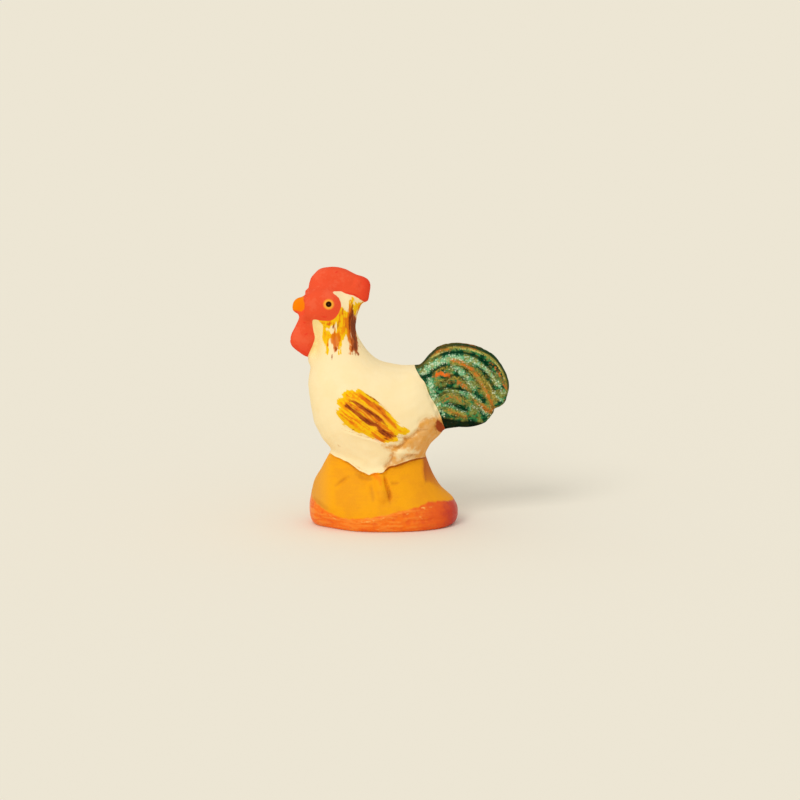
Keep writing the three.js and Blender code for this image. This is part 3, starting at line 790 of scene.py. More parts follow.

# %% [markdown]
# The wing's strokes slant down to its tip. A yellow patch with ragged ends lies under orange and brown
# ones, and two brighter lines between them are painted highlights along the wing's ridges.

# %% Wing strokes
WING_OUTLINE = [
    (-6.0, 20.4), (-5.0, 20.8), (-4.4, 20.5), (-3.6, 20.8), (-2.9, 20.4), (-2.1, 19.8), (-1.1, 19.1), (-0.1, 18.2),
    (0.8, 17.2), (1.8, 16.3), (2.3, 15.6), (2.6, 15.0), (3.2, 14.9), (4.1, 14.3), (3.5, 13.8), (2.7, 13.7),
    (2.0, 13.5), (2.3, 13.1), (2.1, 12.7), (1.2, 12.6), (0.1, 12.5), (-0.4, 12.8), (-2.1, 13.4), (-3.4, 13.9),
    (-5.0, 14.6), (-6.1, 15.5), (-6.9, 16.6), (-7.1, 17.5), (-6.6, 17.9), (-7.0, 18.5), (-7.0, 19.3), (-6.1, 19.6),
    (-6.2, 20.0),
]
WING_ORANGE = [
    ((0.2, 0.6, 0.25), [
        (-3.6, 19.7), (-2.7, 19.1), (-1.5, 18.4), (-0.5, 17.5), (0.3, 16.6), (1.2, 15.7), (1.9, 15.0),
    ]),
    ((0.2, 0.6, 0.25), [
        (-5.3, 18.7), (-4.1, 18.0), (-3.0, 17.4), (-2.0, 16.4), (-1.0, 15.6), (0.2, 14.6), (1.4, 13.9),
    ]),
    ((0.35, 0.45, 0.15), [(-1.7, 14.0), (-1.1, 13.5), (-0.5, 13.1), (0.1, 12.7)]),
    ((0.03, 0.1), [(-6.6, 17.5), (-5.6, 16.8), (-4.5, 16.1), (-3.4, 15.5)]),
    ((0.03, 0.1), [(-6.5, 17.0), (-5.6, 16.3), (-4.5, 15.5)]),
    ((0.02, 0.06), [(-6.4, 16.5), (-5.7, 15.9)]),
    ((0.03, 0.1), [(-5.6, 20.0), (-4.7, 19.4), (-4.0, 19.1)]),
    ((0.03, 0.1), [(-4.6, 20.3), (-3.8, 19.9)]),
    ((0.05, 0.12), [(-5.9, 18.9), (-5.2, 18.5)]),
    ((0.1, 0.2), [(0.5, 13.4), (1.0, 12.9)]),
]
WING_BROWN = [
    ((0.02, 0.12), [(-2.7, 20.1), (-1.9, 19.6), (-1.1, 19.0), (-0.3, 18.3), (0.4, 17.5), (1.3, 16.7)]),
    ((0.02, 0.14), [(-2.6, 19.3), (-1.2, 18.3), (0.1, 16.9), (1.2, 15.8)]),
    ((0.2, 0.46, 0.15), [
        (-5.1, 19.0), (-4.0, 18.6), (-3.0, 17.9), (-2.1, 17.2), (-1.1, 16.5), (-0.1, 15.8), (0.7, 15.0),
    ]),
    ((0.25, 0.56, 0.2), [
        (-5.6, 18.3), (-4.7, 17.6), (-3.7, 16.9), (-2.9, 16.1), (-2.1, 15.6), (-1.2, 15.4), (-0.5, 14.6), (0.1, 14.0),
        (0.9, 13.7), (1.8, 13.5),
    ]),
    ((0.25, 0.4, 0.2), [(-3.2, 16.1), (-2.2, 15.5)]),
    ((0.2, 0.34), [(-0.4, 14.4), (0.4, 13.9)]),
    ((0.03, 0.1), [(0.3, 13.3), (0.8, 12.9)]),
    ((0.02, 0.08), [(0.9, 13.2), (1.4, 12.9)]),
]
# Painted highlights: pale yellow lines along the wing's ridges.
WING_HIGHLIGHTS = [
    ((0.05, 0.15), [
        (-4.7, 18.2), (-3.8, 17.8), (-3.0, 17.3), (-2.2, 16.5), (-1.5, 15.8), (-0.6, 15.3), (0.3, 14.6), (1.1, 14.2),
    ]),
    ((0.1, 0.2, 0.14), [
        (-5.4, 19.6), (-4.2, 19.1), (-3.0, 18.4), (-1.9, 17.8), (-0.6, 16.9), (0.2, 16.1), (0.9, 15.4), (1.7, 14.6),
    ]),
    ((0.1, 0.26), [(-1.6, 15.0), (-1.2, 14.8), (-0.9, 14.5)]),
]

# %% [markdown]
# The red covers the face, the comb and the wattles, with a clean edge behind the cheek and a cream wedge
# between the cheek and the comb. A few dabs of it are darker. An ochre colour covers the rump, partly a washed
# coat and partly painted shade under the tail, and darker ochre lies in the belly's creases as painted shade.
# There is one dab of terracotta under the tail.

# %% Face and rump outlines
RED_OUTLINE = [
    (-16.0, 24.0), (-11.9, 24.6), (-11.6, 25.6), (-11.2, 26.6), (-10.75, 27.6), (-10.4, 28.8), (-10.6, 29.8),
    (-10.75, 31.4), (-10.1, 31.55), (-9.2, 31.4), (-7.8, 31.5), (-7.0, 32.2), (-6.5, 33.2), (-6.4, 34.0),
    (-6.8, 35.0), (-7.7, 35.85), (-6.4, 35.95), (-5.7, 35.6), (-4.5, 35.3), (-3.8, 34.9), (-2.6, 34.2), (-1.0, 33.5),
    (-1.0, 42.0), (-16.0, 42.0),
]
RED_DABS = [
    ((0.03, 0.13), [(-9.4, 32.05), (-8.9, 31.98), (-8.4, 32.08)]),
    ((0.05, 0.12), [(-12.2, 31.2), (-11.8, 31.1)]),
    ((0.05, 0.14), [(-12.0, 29.2), (-11.5, 29.5)]),
    ((0.05, 0.25, 0.1), [(-12.6, 26.9), (-12.0, 26.5), (-11.5, 26.3)]),
    ((0.05, 0.12), [(-7.3, 38.8), (-6.9, 39.1)]),
    ((0.1, 0.25), [(-2.9, 37.9), (-2.3, 37.2), (-1.9, 36.3)]),
    ((0.1, 0.2, 0.05), [(-5.6, 35.75), (-4.2, 35.3), (-2.8, 34.5)]),
]
BEAK_OUTLINE = [
    (-12.4, 35.3), (-12.0, 35.1), (-11.8, 34.6), (-11.8, 33.9), (-12.0, 33.2), (-12.5, 32.9), (-13.2, 33.0),
    (-14.0, 33.1), (-14.8, 33.2), (-15.3, 34.0), (-14.8, 34.9), (-14.0, 35.0), (-13.2, 35.2),
]
# Where ochre goes on the rump: partly a washed coat, partly painted shade under the tail.
RUMP_OUTLINE = [
    (-0.4, 12.5), (0.9, 12.0), (2.3, 12.1), (3.0, 12.6), (3.2, 13.3), (4.1, 13.5), (5.1, 14.1), (5.4, 14.9),
    (5.5, 15.6), (6.2, 16.3), (7.3, 16.5), (8.3, 16.8), (9.4, 16.8), (10.0, 14.6), (8.6, 13.0), (7.6, 12.0),
    (7.2, 10.2), (4.7, 9.9), (3.6, 9.5), (2.7, 9.1), (1.5, 8.7), (0.4, 8.3), (0.4, 9.0), (1.1, 9.5), (1.0, 10.6),
    (1.6, 10.6), (2.3, 9.9), (3.6, 10.5), (5.1, 10.9), (5.1, 11.2), (4.1, 11.4), (2.6, 11.4), (1.7, 11.2),
    (0.7, 11.4),
]
# Painted shade: dark ochre lines in the belly's creases, along the ledge and under the wing's tip.
CREASE_SHADE_LINES = [
    ((0.08, 0.18, 0.1), [(2.8, 13.25), (3.6, 13.1), (4.5, 13.6), (5.3, 14.3), (6.7, 14.6)]),
    ((0.03, 0.2, 0.1), [(0.7, 12.2), (1.5, 11.8), (2.3, 11.75), (3.0, 12.3), (3.6, 12.9)]),
    ((0.03, 0.08), [(2.1, 13.3), (3.2, 13.2), (4.4, 13.1)]),
    ((0.05, 0.12), [(5.6, 15.8), (6.5, 16.3), (7.8, 16.3)]),
    ((0.1, 0.2, 0.05), [(0.1, 8.7), (0.8, 9.2), (1.3, 10.1), (1.5, 11.0)]),
    ((0.05, 0.2), [(2.8, 10.0), (3.9, 10.5), (5.4, 10.7)]),
    ((0.05, 0.14), [(-0.2, 8.9), (0.4, 9.1), (1.1, 9.1)]),
    ((0.1, 0.16, 0.05), [(7.7, 15.4), (8.0, 14.5), (8.1, 13.8)]),
    ((0.0, 0.09, 0.05), [
        (-6.5, 14.8), (-5.7, 14.4), (-4.5, 14.0), (-3.0, 13.5), (-1.1, 13.0), (0.3, 12.3), (1.4, 11.9),
    ]),
    ((0.0, 0.05), [(-5.0, 9.5), (-3.9, 8.7), (-3.1, 8.3), (-2.2, 8.0)]),
    ((0.0, 0.08), [(-7.0, 12.25), (-6.8, 12.0), (-6.5, 11.85)]),
]
TERRACOTTA = [(8.2, 16.2), (8.8, 15.7), (9.3, 15.1), (9.5, 14.3), (8.6, 14.1), (8.1, 14.5), (7.9, 15.1), (8.0, 15.8)]

# %% [markdown]
# The tail is green with lighter bands speckled with painted highlights, and olive and copper brushed over
# its ridges with a nearly dry brush. Its underside is painted nearly black, as painted shade.

# %% Tail strokes
OLIVE = [
    ((0.4, 0.5), [
        (5.4, 24.6), (6.8, 25.7), (8.1, 26.6), (10.9, 27.5), (14.0, 27.1), (16.6, 25.8), (18.4, 23.3), (19.0, 20.9),
    ]),
    ((0.3, 0.5, 0.4), [(14.5, 23.2), (15.6, 21.7), (16.3, 20.4), (17.1, 19.2)]),
    ((0.4, 0.62), [(10.6, 25.1), (12.4, 24.5), (14.0, 23.1), (15.1, 21.2), (16.1, 19.4), (16.8, 17.5)]),
    ((0.1, 0.3), [(7.6, 23.4), (8.8, 24.0), (10.2, 24.2)]),
    ((0.1, 0.3, 0.2), [(7.9, 22.3), (9.1, 22.1), (10.2, 22.5), (11.6, 22.4), (13.0, 21.2)]),
    ((0.1, 0.3, 0.2), [(8.7, 19.3), (9.7, 19.9), (10.9, 19.9), (12.0, 19.4), (13.1, 18.5)]),
    ((0.2, 0.5, 0.3), [(10.0, 17.7), (11.3, 17.0), (12.6, 16.5)]),
    ((0.2, 0.5, 0.4), [(13.4, 19.5), (14.7, 18.4), (15.8, 17.6), (16.5, 17.2)]),
    ((0.1, 0.3), [(9.0, 17.6), (10.2, 17.2), (11.4, 16.5)]),
]
COPPER = [
    ((0.1, 0.3, 0.15), [(7.2, 26.1), (8.6, 26.8), (10.4, 27.1)]),
    ((0.1, 0.22), [(11.7, 27.5), (13.4, 27.3), (14.8, 26.8)]),
    ((0.1, 0.26, 0.2), [(16.2, 25.0), (17.1, 24.1), (17.9, 22.6), (18.6, 21.0)]),
    ((0.25, 0.42, 0.3), [(10.4, 25.3), (11.5, 25.1), (12.4, 24.6), (13.3, 24.0), (14.0, 23.2), (14.5, 22.3)]),
    ((0.2, 0.3, 0.3), [(14.3, 22.6), (15.1, 21.2), (15.7, 20.3), (16.1, 19.4), (16.5, 18.5), (16.7, 17.6)]),
    ((0.25, 0.42), [(7.7, 22.9), (8.5, 23.2), (9.5, 23.2), (10.3, 22.9)]),
    ((0.2, 0.42, 0.15), [(9.8, 21.9), (10.9, 22.0), (11.7, 21.7), (12.6, 21.0), (13.4, 20.4)]),
    ((0.1, 0.28), [(9.0, 18.8), (9.5, 19.3), (10.4, 19.6), (11.3, 19.3), (12.1, 18.6), (12.8, 18.2)]),
    ((0.05, 0.26, 0.1), [(10.0, 17.5), (11.3, 16.9), (12.6, 16.4)]),
    ((0.1, 0.38, 0.3), [(13.6, 19.2), (14.9, 18.3), (15.8, 17.6), (16.6, 17.2)]),
]
EMBER = [
    ((0.25, 0.38, 0.2), [(8.0, 23.0), (8.6, 23.3), (9.4, 23.0), (10.0, 22.8)]),
    ((0.05, 0.16), [(11.4, 25.0), (12.2, 24.6), (13.1, 24.0), (13.8, 23.2)]),
    ((0.05, 0.14), [(11.3, 21.8), (12.0, 21.3), (12.7, 20.8)]),
    ((0.05, 0.14), [(17.4, 23.6), (17.8, 22.8), (18.0, 22.2)]),
    ((0.1, 0.2), [(18.2, 21.5), (18.6, 20.9)]),
    ((0.03, 0.12), [(11.9, 27.6), (13.4, 27.4), (14.3, 27.1)]),
    ((0.03, 0.1), [(15.6, 20.2), (16.1, 19.0), (16.4, 18.0)]),
]
MINT = [
    ((0.45, 0.42, 0.25), [
        (5.6, 23.1), (6.7, 24.0), (7.7, 24.6), (10.0, 25.6), (12.1, 25.6), (14.0, 24.9), (15.6, 23.8), (17.2, 22.0),
        (18.2, 20.3),
    ]),
    ((0.3, 0.4, 0.2), [(10.5, 24.2), (11.3, 24.0), (11.9, 23.4), (12.5, 22.7), (13.1, 22.0), (13.7, 20.9)]),
    ((0.4, 0.4, 0.3), [(6.9, 22.1), (7.2, 21.4), (7.4, 20.5), (7.8, 19.5), (8.2, 18.6), (8.6, 17.6), (9.1, 16.9)]),
    ((0.1, 0.22), [(9.5, 20.7), (10.6, 20.4), (11.8, 20.3), (12.9, 20.0), (14.0, 19.4), (14.9, 18.6)]),
    ((0.2, 0.34), [(13.3, 18.0), (14.4, 17.9), (15.1, 17.5), (16.0, 16.8)]),
    ((0.1, 0.16), [(9.2, 18.35), (10.2, 18.3), (11.4, 17.8), (12.4, 17.3)]),
    ((0.1, 0.2), [(16.6, 20.4), (17.4, 19.4), (18.0, 19.0)]),
]
# Painted highlights: thin straw lines along the tail's ridges.
THIN_HIGHLIGHTS = [
    ((0.03, 0.1), [(7.2, 25.7), (8.6, 26.4), (9.8, 26.75)]),
    ((0.03, 0.1), [(11.9, 27.0), (13.0, 27.0), (14.2, 26.6), (15.3, 26.1)]),
    ((0.03, 0.1), [(16.3, 25.5), (17.4, 24.4), (18.3, 22.9)]),
    ((0.02, 0.08), [(8.7, 19.6), (9.7, 20.1), (10.9, 20.1), (12.0, 19.6)]),
    ((0.02, 0.07), [(11.2, 24.8), (12.8, 23.9), (14.2, 22.3), (15.3, 20.4)]),
    ((0.02, 0.09), [(8.3, 22.2), (9.4, 22.0), (10.2, 22.4)]),
    ((0.05, 0.12), [(15.8, 22.0), (16.2, 21.3), (16.6, 20.6)]),
    ((0.02, 0.08), [(11.0, 17.8), (12.0, 17.2), (13.0, 16.7)]),
]
# Painted shade: deep green lines in the tail's grooves and along its outline.
TAIL_SHADE_LINES = [
    ((0.05, 0.2, 0.1), [
        (7.6, 25.5), (8.5, 25.95), (10.0, 26.4), (11.3, 26.5), (12.9, 26.3), (15.1, 25.2), (16.5, 23.6), (17.3, 22.1),
    ]),
    ((0.36, 0.34, 0.1), [(5.4, 22.7), (6.6, 22.8), (7.6, 23.3)]),
    ((0.15, 0.26, 0.2), [
        (5.1, 24.5), (6.2, 25.2), (7.5, 26.5), (8.5, 27.3), (9.6, 27.7), (10.9, 27.8), (12.1, 27.7), (13.4, 27.5),
        (14.7, 27.0), (16.1, 26.3), (17.3, 25.2), (18.3, 23.7), (18.9, 22.1), (19.0, 20.8),
    ]),
    ((0.05, 0.12), [(7.6, 23.5), (8.8, 24.35), (10.2, 24.65)]),
    ((0.05, 0.12), [(8.1, 20.5), (8.9, 20.9), (9.5, 21.1), (10.6, 20.95), (12.0, 20.7), (13.3, 20.0)]),
    ((0.05, 0.18), [(9.0, 18.5), (10.2, 18.45), (11.3, 18.0), (12.4, 17.5)]),
    ((0.02, 0.08), [(13.0, 23.55), (14.0, 22.3), (14.9, 20.95), (15.5, 19.8)]),
    ((0.05, 0.2, 0.1), [(12.6, 25.3), (14.6, 24.1), (15.9, 22.9), (16.9, 21.0)]),
    ((0.1, 0.16, 0.05), [(7.9, 19.4), (9.0, 20.2), (10.1, 20.45), (11.6, 20.1)]),
    ((0.1, 0.2, 0.2), [(19.2, 20.4), (18.9, 19.2), (17.9, 18.1), (17.0, 17.6), (16.5, 16.6), (15.8, 15.7)]),
]
# Painted shade under the tail: where it is painted nearly black.
UNDERSIDE_SHADE = [
    (8.0, 16.6), (8.6, 16.5), (10.0, 16.3), (11.5, 16.0), (13.2, 16.0), (14.7, 15.7), (15.9, 15.9), (16.9, 17.3),
    (17.9, 18.1), (19.6, 20.2), (20.5, 16.0), (14.0, 12.5), (8.0, 12.5),
]

# %% [markdown]
# The mound is ochre down to a wavy line, and glossy orange below it, with paler streaks where the light
# catches the brush marks.

# %% Mound outlines
RIM_LINE = [
    (-13.0, 6.2), (-11.4, 4.9), (-11.0, 4.3), (-10.8, 3.9), (-10.1, 3.0), (-8.8, 2.0), (-7.3, 1.2), (-6.4, 0.9),
    (-5.4, 0.7), (-4.0, 0.7), (-2.4, 0.8), (-1.0, 1.0), (0.6, 1.3), (2.4, 1.8), (3.3, 2.0), (4.9, 2.35), (5.7, 2.7),
    (6.5, 3.1), (7.3, 3.3), (8.9, 3.4), (10.4, 3.45), (13.0, 3.9),
]
RIM_OUTLINE = RIM_LINE + [(13.0, -5.0), (-13.0, -5.0)]
GLINTS = [
    ((0.02, 0.12), [(-3.9, 0.1), (-2.6, 0.2), (-1.3, 0.4)]),
    ((0.02, 0.12), [(-0.4, 0.5), (0.0, 0.75), (0.5, 0.9)]),
    ((0.02, 0.09), [(-1.2, -1.0), (-0.7, -0.9)]),
    ((0.02, 0.12), [(0.5, -0.35), (1.0, -0.1)]),
    ((0.02, 0.14), [(5.5, 2.3), (6.2, 2.35), (6.3, 2.0)]),
    ((0.02, 0.1), [(6.9, 2.5), (7.4, 2.4)]),
    ((0.02, 0.1), [(5.4, 1.2), (5.9, 0.6)]),
    ((0.02, 0.1), [(3.0, 1.2), (4.0, 1.5)]),
    ((0.0, 0.07), [(-8.6, 1.5), (-7.6, 0.8), (-6.6, 0.3)]),
]
# Painted shade: darker ochre in the mound's grooves, beside the leg and under the belly.
MOUND_SHADE_LINES = [
    ((0.1, 0.16, 0.05), [(-7.3, 5.8), (-6.5, 6.5), (-5.3, 7.1)]),
    ((0.2, 0.36), [(-4.0, 7.5), (-2.8, 6.95), (-1.9, 6.9)]),
    ((0.1, 0.14, 0.05), [(1.3, 6.2), (2.3, 6.2)]),
    ((0.1, 0.2, 0.05), [(0.6, 5.6), (0.95, 4.4), (0.95, 3.1)]),
    ((0.1, 0.3), [(-10.6, 3.9), (-9.5, 2.8), (-8.7, 2.2)]),
    ((0.1, 0.2), [(-5.9, 10.0), (-4.9, 9.1), (-4.0, 8.3), (-2.4, 7.2)]),
    ((0.1, 0.24), [(-1.9, 5.8), (-1.7, 4.6), (-1.6, 3.6)]),
]
LEG_FOOT = [((0.3, 0.36, 0.1), [(-1.7, 8.2), (-1.3, 7.5), (-0.6, 6.8), (-0.4, 6.0)])]
# Painted shade: the mound's rear face, beyond its corner, is painted a darker red-brown.
REAR_SHADE_OUTLINE = [
    (6.05, 12.0), (6.0, 9.8), (6.0, 8.0), (6.3, 6.6), (7.4, 6.2), (8.6, 5.4), (10.6, 4.8), (14.0, 6.0), (14.0, 12.0),
]
# Painted shadow: a dark line on the mound just under the belly's hem.
HEM_SHADOW_LINES = [
    ((0.2, 0.32, 0.22), [(-0.4, 7.8), (0.4, 8.35), (0.9, 8.75), (1.9, 9.0), (3.0, 9.4), (4.1, 9.8), (6.2, 10.2)]),
    ((0.04, 0.07), [(-8.1, 10.75), (-6.5, 10.0), (-5.2, 9.3), (-3.7, 8.15), (-2.2, 7.45)]),
]

# %% [markdown]
# Each piece now gets its layers. They are measured on the finished surface, so the paint stays where the
# brush put it, whatever the piece under it. Two more layers say how high the tool's marks stand and how far
# the surface turns away from the sides. A dry brush catches on what stands out, and the hollows and the
# turned-away surfaces get painted shade.

# %% Put the layers on the pieces
MOUND_PIECES = ["mound", "left_leg", "right_leg"]
ALL_MARKS = BODY_MARKS + WING_MARKS + TAIL_MARKS + MOUND_MARKS
BIRD_OUTLINES = {
    "red": RED_OUTLINE,
    "beak": BEAK_OUTLINE,
    "yellow": WING_OUTLINE,
    "rump": RUMP_OUTLINE,
    "terracotta": TERRACOTTA,
}
BIRD_STROKES = {"dabs": RED_DABS, "orange": WING_ORANGE, "brown": WING_BROWN, "pale": WING_HIGHLIGHTS, "crease_shade": CREASE_SHADE_LINES}
NECK_PAINTS = {
    "yellow": (NECK_YELLOW_PATCHES, NECK_YELLOW),
    "orange": (NECK_ORANGE_PATCHES, NECK_ORANGE),
    "brown": (NECK_BROWN_PATCHES, NECK_BROWN),
}
TAIL_STROKES = {
    "olive": OLIVE,
    "copper": COPPER,
    "ember": EMBER,
    "mint": MINT,
    "light": THIN_HIGHLIGHTS,
    "tail_shade": TAIL_SHADE_LINES,
}
MOUND_STROKES = {"glints": GLINTS, "mound_shade": MOUND_SHADE_LINES, "leg_foot": LEG_FOOT, "hem_shadow": HEM_SHADOW_LINES}
BEAK_PAINT_HALF = BEAK_HALF - 0.1
BEAK_NARROWS = 0.6  # above the height of BEAK_RIDGE, by this much for each millimetre
BEAK_RIDGE = 34.3


def patched(flat, outlines):
    return np.maximum.reduce([inside(flat, curved(outline, 3)) for outline in outlines])


def drawn_layers(flat, outlines, strokes):
    layers = {name: patched(flat, [outline]) for name, outline in outlines.items()}
    return layers | {name: stroked(flat, lines) for name, lines in strokes.items()}


def bird_layers(points, flat):
    layers = drawn_layers(flat, BIRD_OUTLINES, BIRD_STROKES)
    beak_half = BEAK_PAINT_HALF - BEAK_NARROWS * np.maximum(points[:, 2] - BEAK_RIDGE, 0)
    layers["beak"] = np.minimum(layers["beak"], beak_half - abs(points[:, 1]))
    neck = neck_view(points)
    for name, (outlines, strokes) in NECK_PAINTS.items():
        patches = patched(neck, [unrolled(outline) for outline in outlines])
        lines = stroked(neck, [(widths, unrolled(line)) for widths, line in strokes])
        layers[name] = np.maximum(layers[name], np.maximum(patches, lines))
    return layers


for node, piece in pieces.items():
    spots = places(piece)
    drawn = side_view(spots)
    if node in TAIL_FORMS:
        layers = drawn_layers(drawn, {"underside": UNDERSIDE_SHADE}, TAIL_STROKES)
    elif node in MOUND_PIECES:
        layers = drawn_layers(drawn, {"rim": RIM_OUTLINE, "rear": REAR_SHADE_OUTLINE}, MOUND_STROKES)
    else:
        layers = bird_layers(spots, drawn)
    layers["relief"] = mark_heights(drawn, ALL_MARKS)
    layers["turned"] = 1 - abs(facings(piece)[:, 1])  # 0 on the sides, 1 where the surface turns from them
    for name, values in layers.items():
        attribute = piece.data.attributes.new(name, "FLOAT", "POINT")
        attribute.data.foreach_set("value", values.astype(np.float32))
print("layers on", len(pieces), "pieces")

# %% [markdown]
# The materials are written as sums. A Value wraps one socket, so that adding or multiplying two of them
# adds a Math node. Paint makes every other node and holds the material. Its brush lays one coat over the
# coats before it, as on the real bird.

# %% Shader sums
CLEAR_ROUGHNESS = 0.2  # of the clear gloss on the tail and the rim


class Value:
    """One socket of a material."""

    def __init__(self, paint, socket):
        self.paint = paint
        self.socket = socket

    def __add__(self, other):
        return self.paint.math("ADD", self, other)

    def __sub__(self, other):
        return self.paint.math("SUBTRACT", self, other)

    def __rsub__(self, other):
        return self.paint.math("SUBTRACT", other, self)

    def __mul__(self, other):
        return self.paint.math("MULTIPLY", self, other)

    def __abs__(self):
        return self.paint.math("ABSOLUTE", self)

    __radd__ = __add__
    __rmul__ = __mul__


class Paint:
    def __init__(self, name, ground=None):
        self.coat = ground
        self.material = bpy.data.materials.new(name)
        self.material.use_nodes = True
        self.tree = self.material.node_tree
        self.shader = self.tree.nodes["Principled BSDF"]
        here = self.node("TexCoord").outputs["Object"]
        scaled = self.node("VectorMath", {"operation": "SCALE"}, {0: here, "Scale": 1 / MM})
        self.at = Value(self, scaled.outputs[0])

    def node(self, kind, settings=None, sockets=None):
        made = self.tree.nodes.new("ShaderNode" + kind)
        for key, value in (settings or {}).items():
            setattr(made, key, value)
        for key, value in (sockets or {}).items():
            self.feed(made.inputs[key], value)
        return made

    def feed(self, socket, value):
        if isinstance(value, Value):
            value = value.socket
        if isinstance(value, bpy.types.NodeSocket):
            self.tree.links.new(value, socket)
        else:
            socket.default_value = value

    def math(self, operation, *values, clamp=False):
        settings = {"operation": operation, "use_clamp": clamp}
        return Value(self, self.node("Math", settings, dict(enumerate(values))).outputs[0])

    def parts(self):
        """Across, away and up, in millimetres."""
        split = self.node("SeparateXYZ", sockets={0: self.at})
        return [Value(self, split.outputs[i]) for i in range(3)]

    def vector_of(self, x, y, z):
        return Value(self, self.node("CombineXYZ", sockets={0: x, 1: y, 2: z}).outputs[0])

    def layer(self, name):
        return Value(self, self.node("Attribute", {"attribute_name": name}).outputs["Fac"])

    def noise(self, per_mm, detail, at=None):
        sockets = {"Vector": at or self.at, "Scale": per_mm, "Detail": detail}
        return Value(self, self.node("TexNoise", sockets=sockets).outputs[0])

    def spots(self, per_mm):
        """The distance to the nearest of many scattered spots, and that spot's own random number."""
        made = self.node("TexVoronoi", sockets={"Vector": self.at, "Scale": per_mm})
        number = self.node("SeparateColor", sockets={0: made.outputs["Color"]})
        return Value(self, made.outputs["Distance"]), Value(self, number.outputs[0])

    def step(self, value, low, high):
        sockets = {"Value": value, "From Min": low, "From Max": high}
        return Value(self, self.node("MapRange", {"interpolation_type": "SMOOTHSTEP"}, sockets).outputs[0])

    def mixed(self, under, over, share):
        made = self.node("Mix", {"data_type": "RGBA"}, {0: share, 6: under, 7: over})
        return Value(self, made.outputs[2])

    def where(self, name, low, high, *wavers):
        """0 outside a layer's paint and 1 inside it, eased from low to high across its wavering edge."""
        return self.step(sum(wavers, self.layer(name)), low, high)

    def brush(self, colour, share):
        self.coat = self.mixed(self.coat, colour, share)

    def set(self, values):
        for name, value in values.items():
            self.feed(self.shader.inputs[name], value)

    def finish(self, roughness, height, depth, specular, clear=0.0):
        bump = self.node("Bump", sockets={"Height": height, "Distance": depth * MM})
        self.set({"Base Color": self.coat, "Roughness": roughness, "Normal": bump.outputs[0]})
        self.set({"Specular IOR Level": specular, "Coat Weight": clear, "Coat Roughness": CLEAR_ROUGHNESS})
        return self.material


def colour(red, green, blue):
    """A paint's colour as it looks, turned into the shader's linear numbers. The numbers below are sRGB's own."""
    shades = [c / 255 for c in (red, green, blue)]
    return tuple(c / 12.92 if c <= 0.04045 else ((c + 0.055) / 1.055) ** 2.4 for c in shades) + (1.0,)


# %% [markdown]
# The bird's paint is matte gouache. Its coats go on in the order that a painter uses: cream all over, the
# ochre on the rump and in the hollows, part washed coat and part painted shade, darker ochre as painted shade
# in the creases, yellow, orange and brown strokes, pale yellow lines as painted highlights on the wing's
# ridges, the red, the beak, and the eye. Bristles show as streaks that run down the neck and along the wing.

# %% Bird paint
CREAM = colour(254, 232, 181)
CREAM_WARM = colour(254, 229, 174)
CREAM_NECK = colour(253, 227, 148)
OCHRE_WASH_AND_SHADE = colour(231, 166, 82)
OCHRE_CREASE_SHADE = colour(190, 124, 48)
YELLOW = colour(251, 198, 22)
YELLOW_DEEP = colour(246, 154, 20)
ORANGE = colour(232, 124, 24)
ORANGE_DEEP = colour(218, 104, 22)
BROWN = colour(180, 84, 28)
BROWN_DARK = colour(126, 52, 22)
HIGHLIGHT_YELLOW = colour(252, 182, 44)
RED = colour(240, 86, 50)
RED_DEEP = colour(234, 62, 38)
RED_LIGHT = colour(243, 98, 62)
BEAK = colour(250, 136, 10)
IRIS = colour(254, 172, 60)
IRIS_EDGE = colour(248, 132, 56)
PUPIL = colour(44, 20, 6)
DOT = colour(96, 58, 18)
TERRACOTTA_PAINT = colour(164, 74, 34)
EYE_AT = (-8.28, 33.94)
# Each ring of the eye, and how far from its middle it ends and is full.
EYE_RINGS = ((IRIS_EDGE, 0.96, 0.78), (IRIS, 0.8, 0.64), (PUPIL, 0.49, 0.4), (DOT, 0.14, 0.02))
WING_SLANT = math.radians(38)


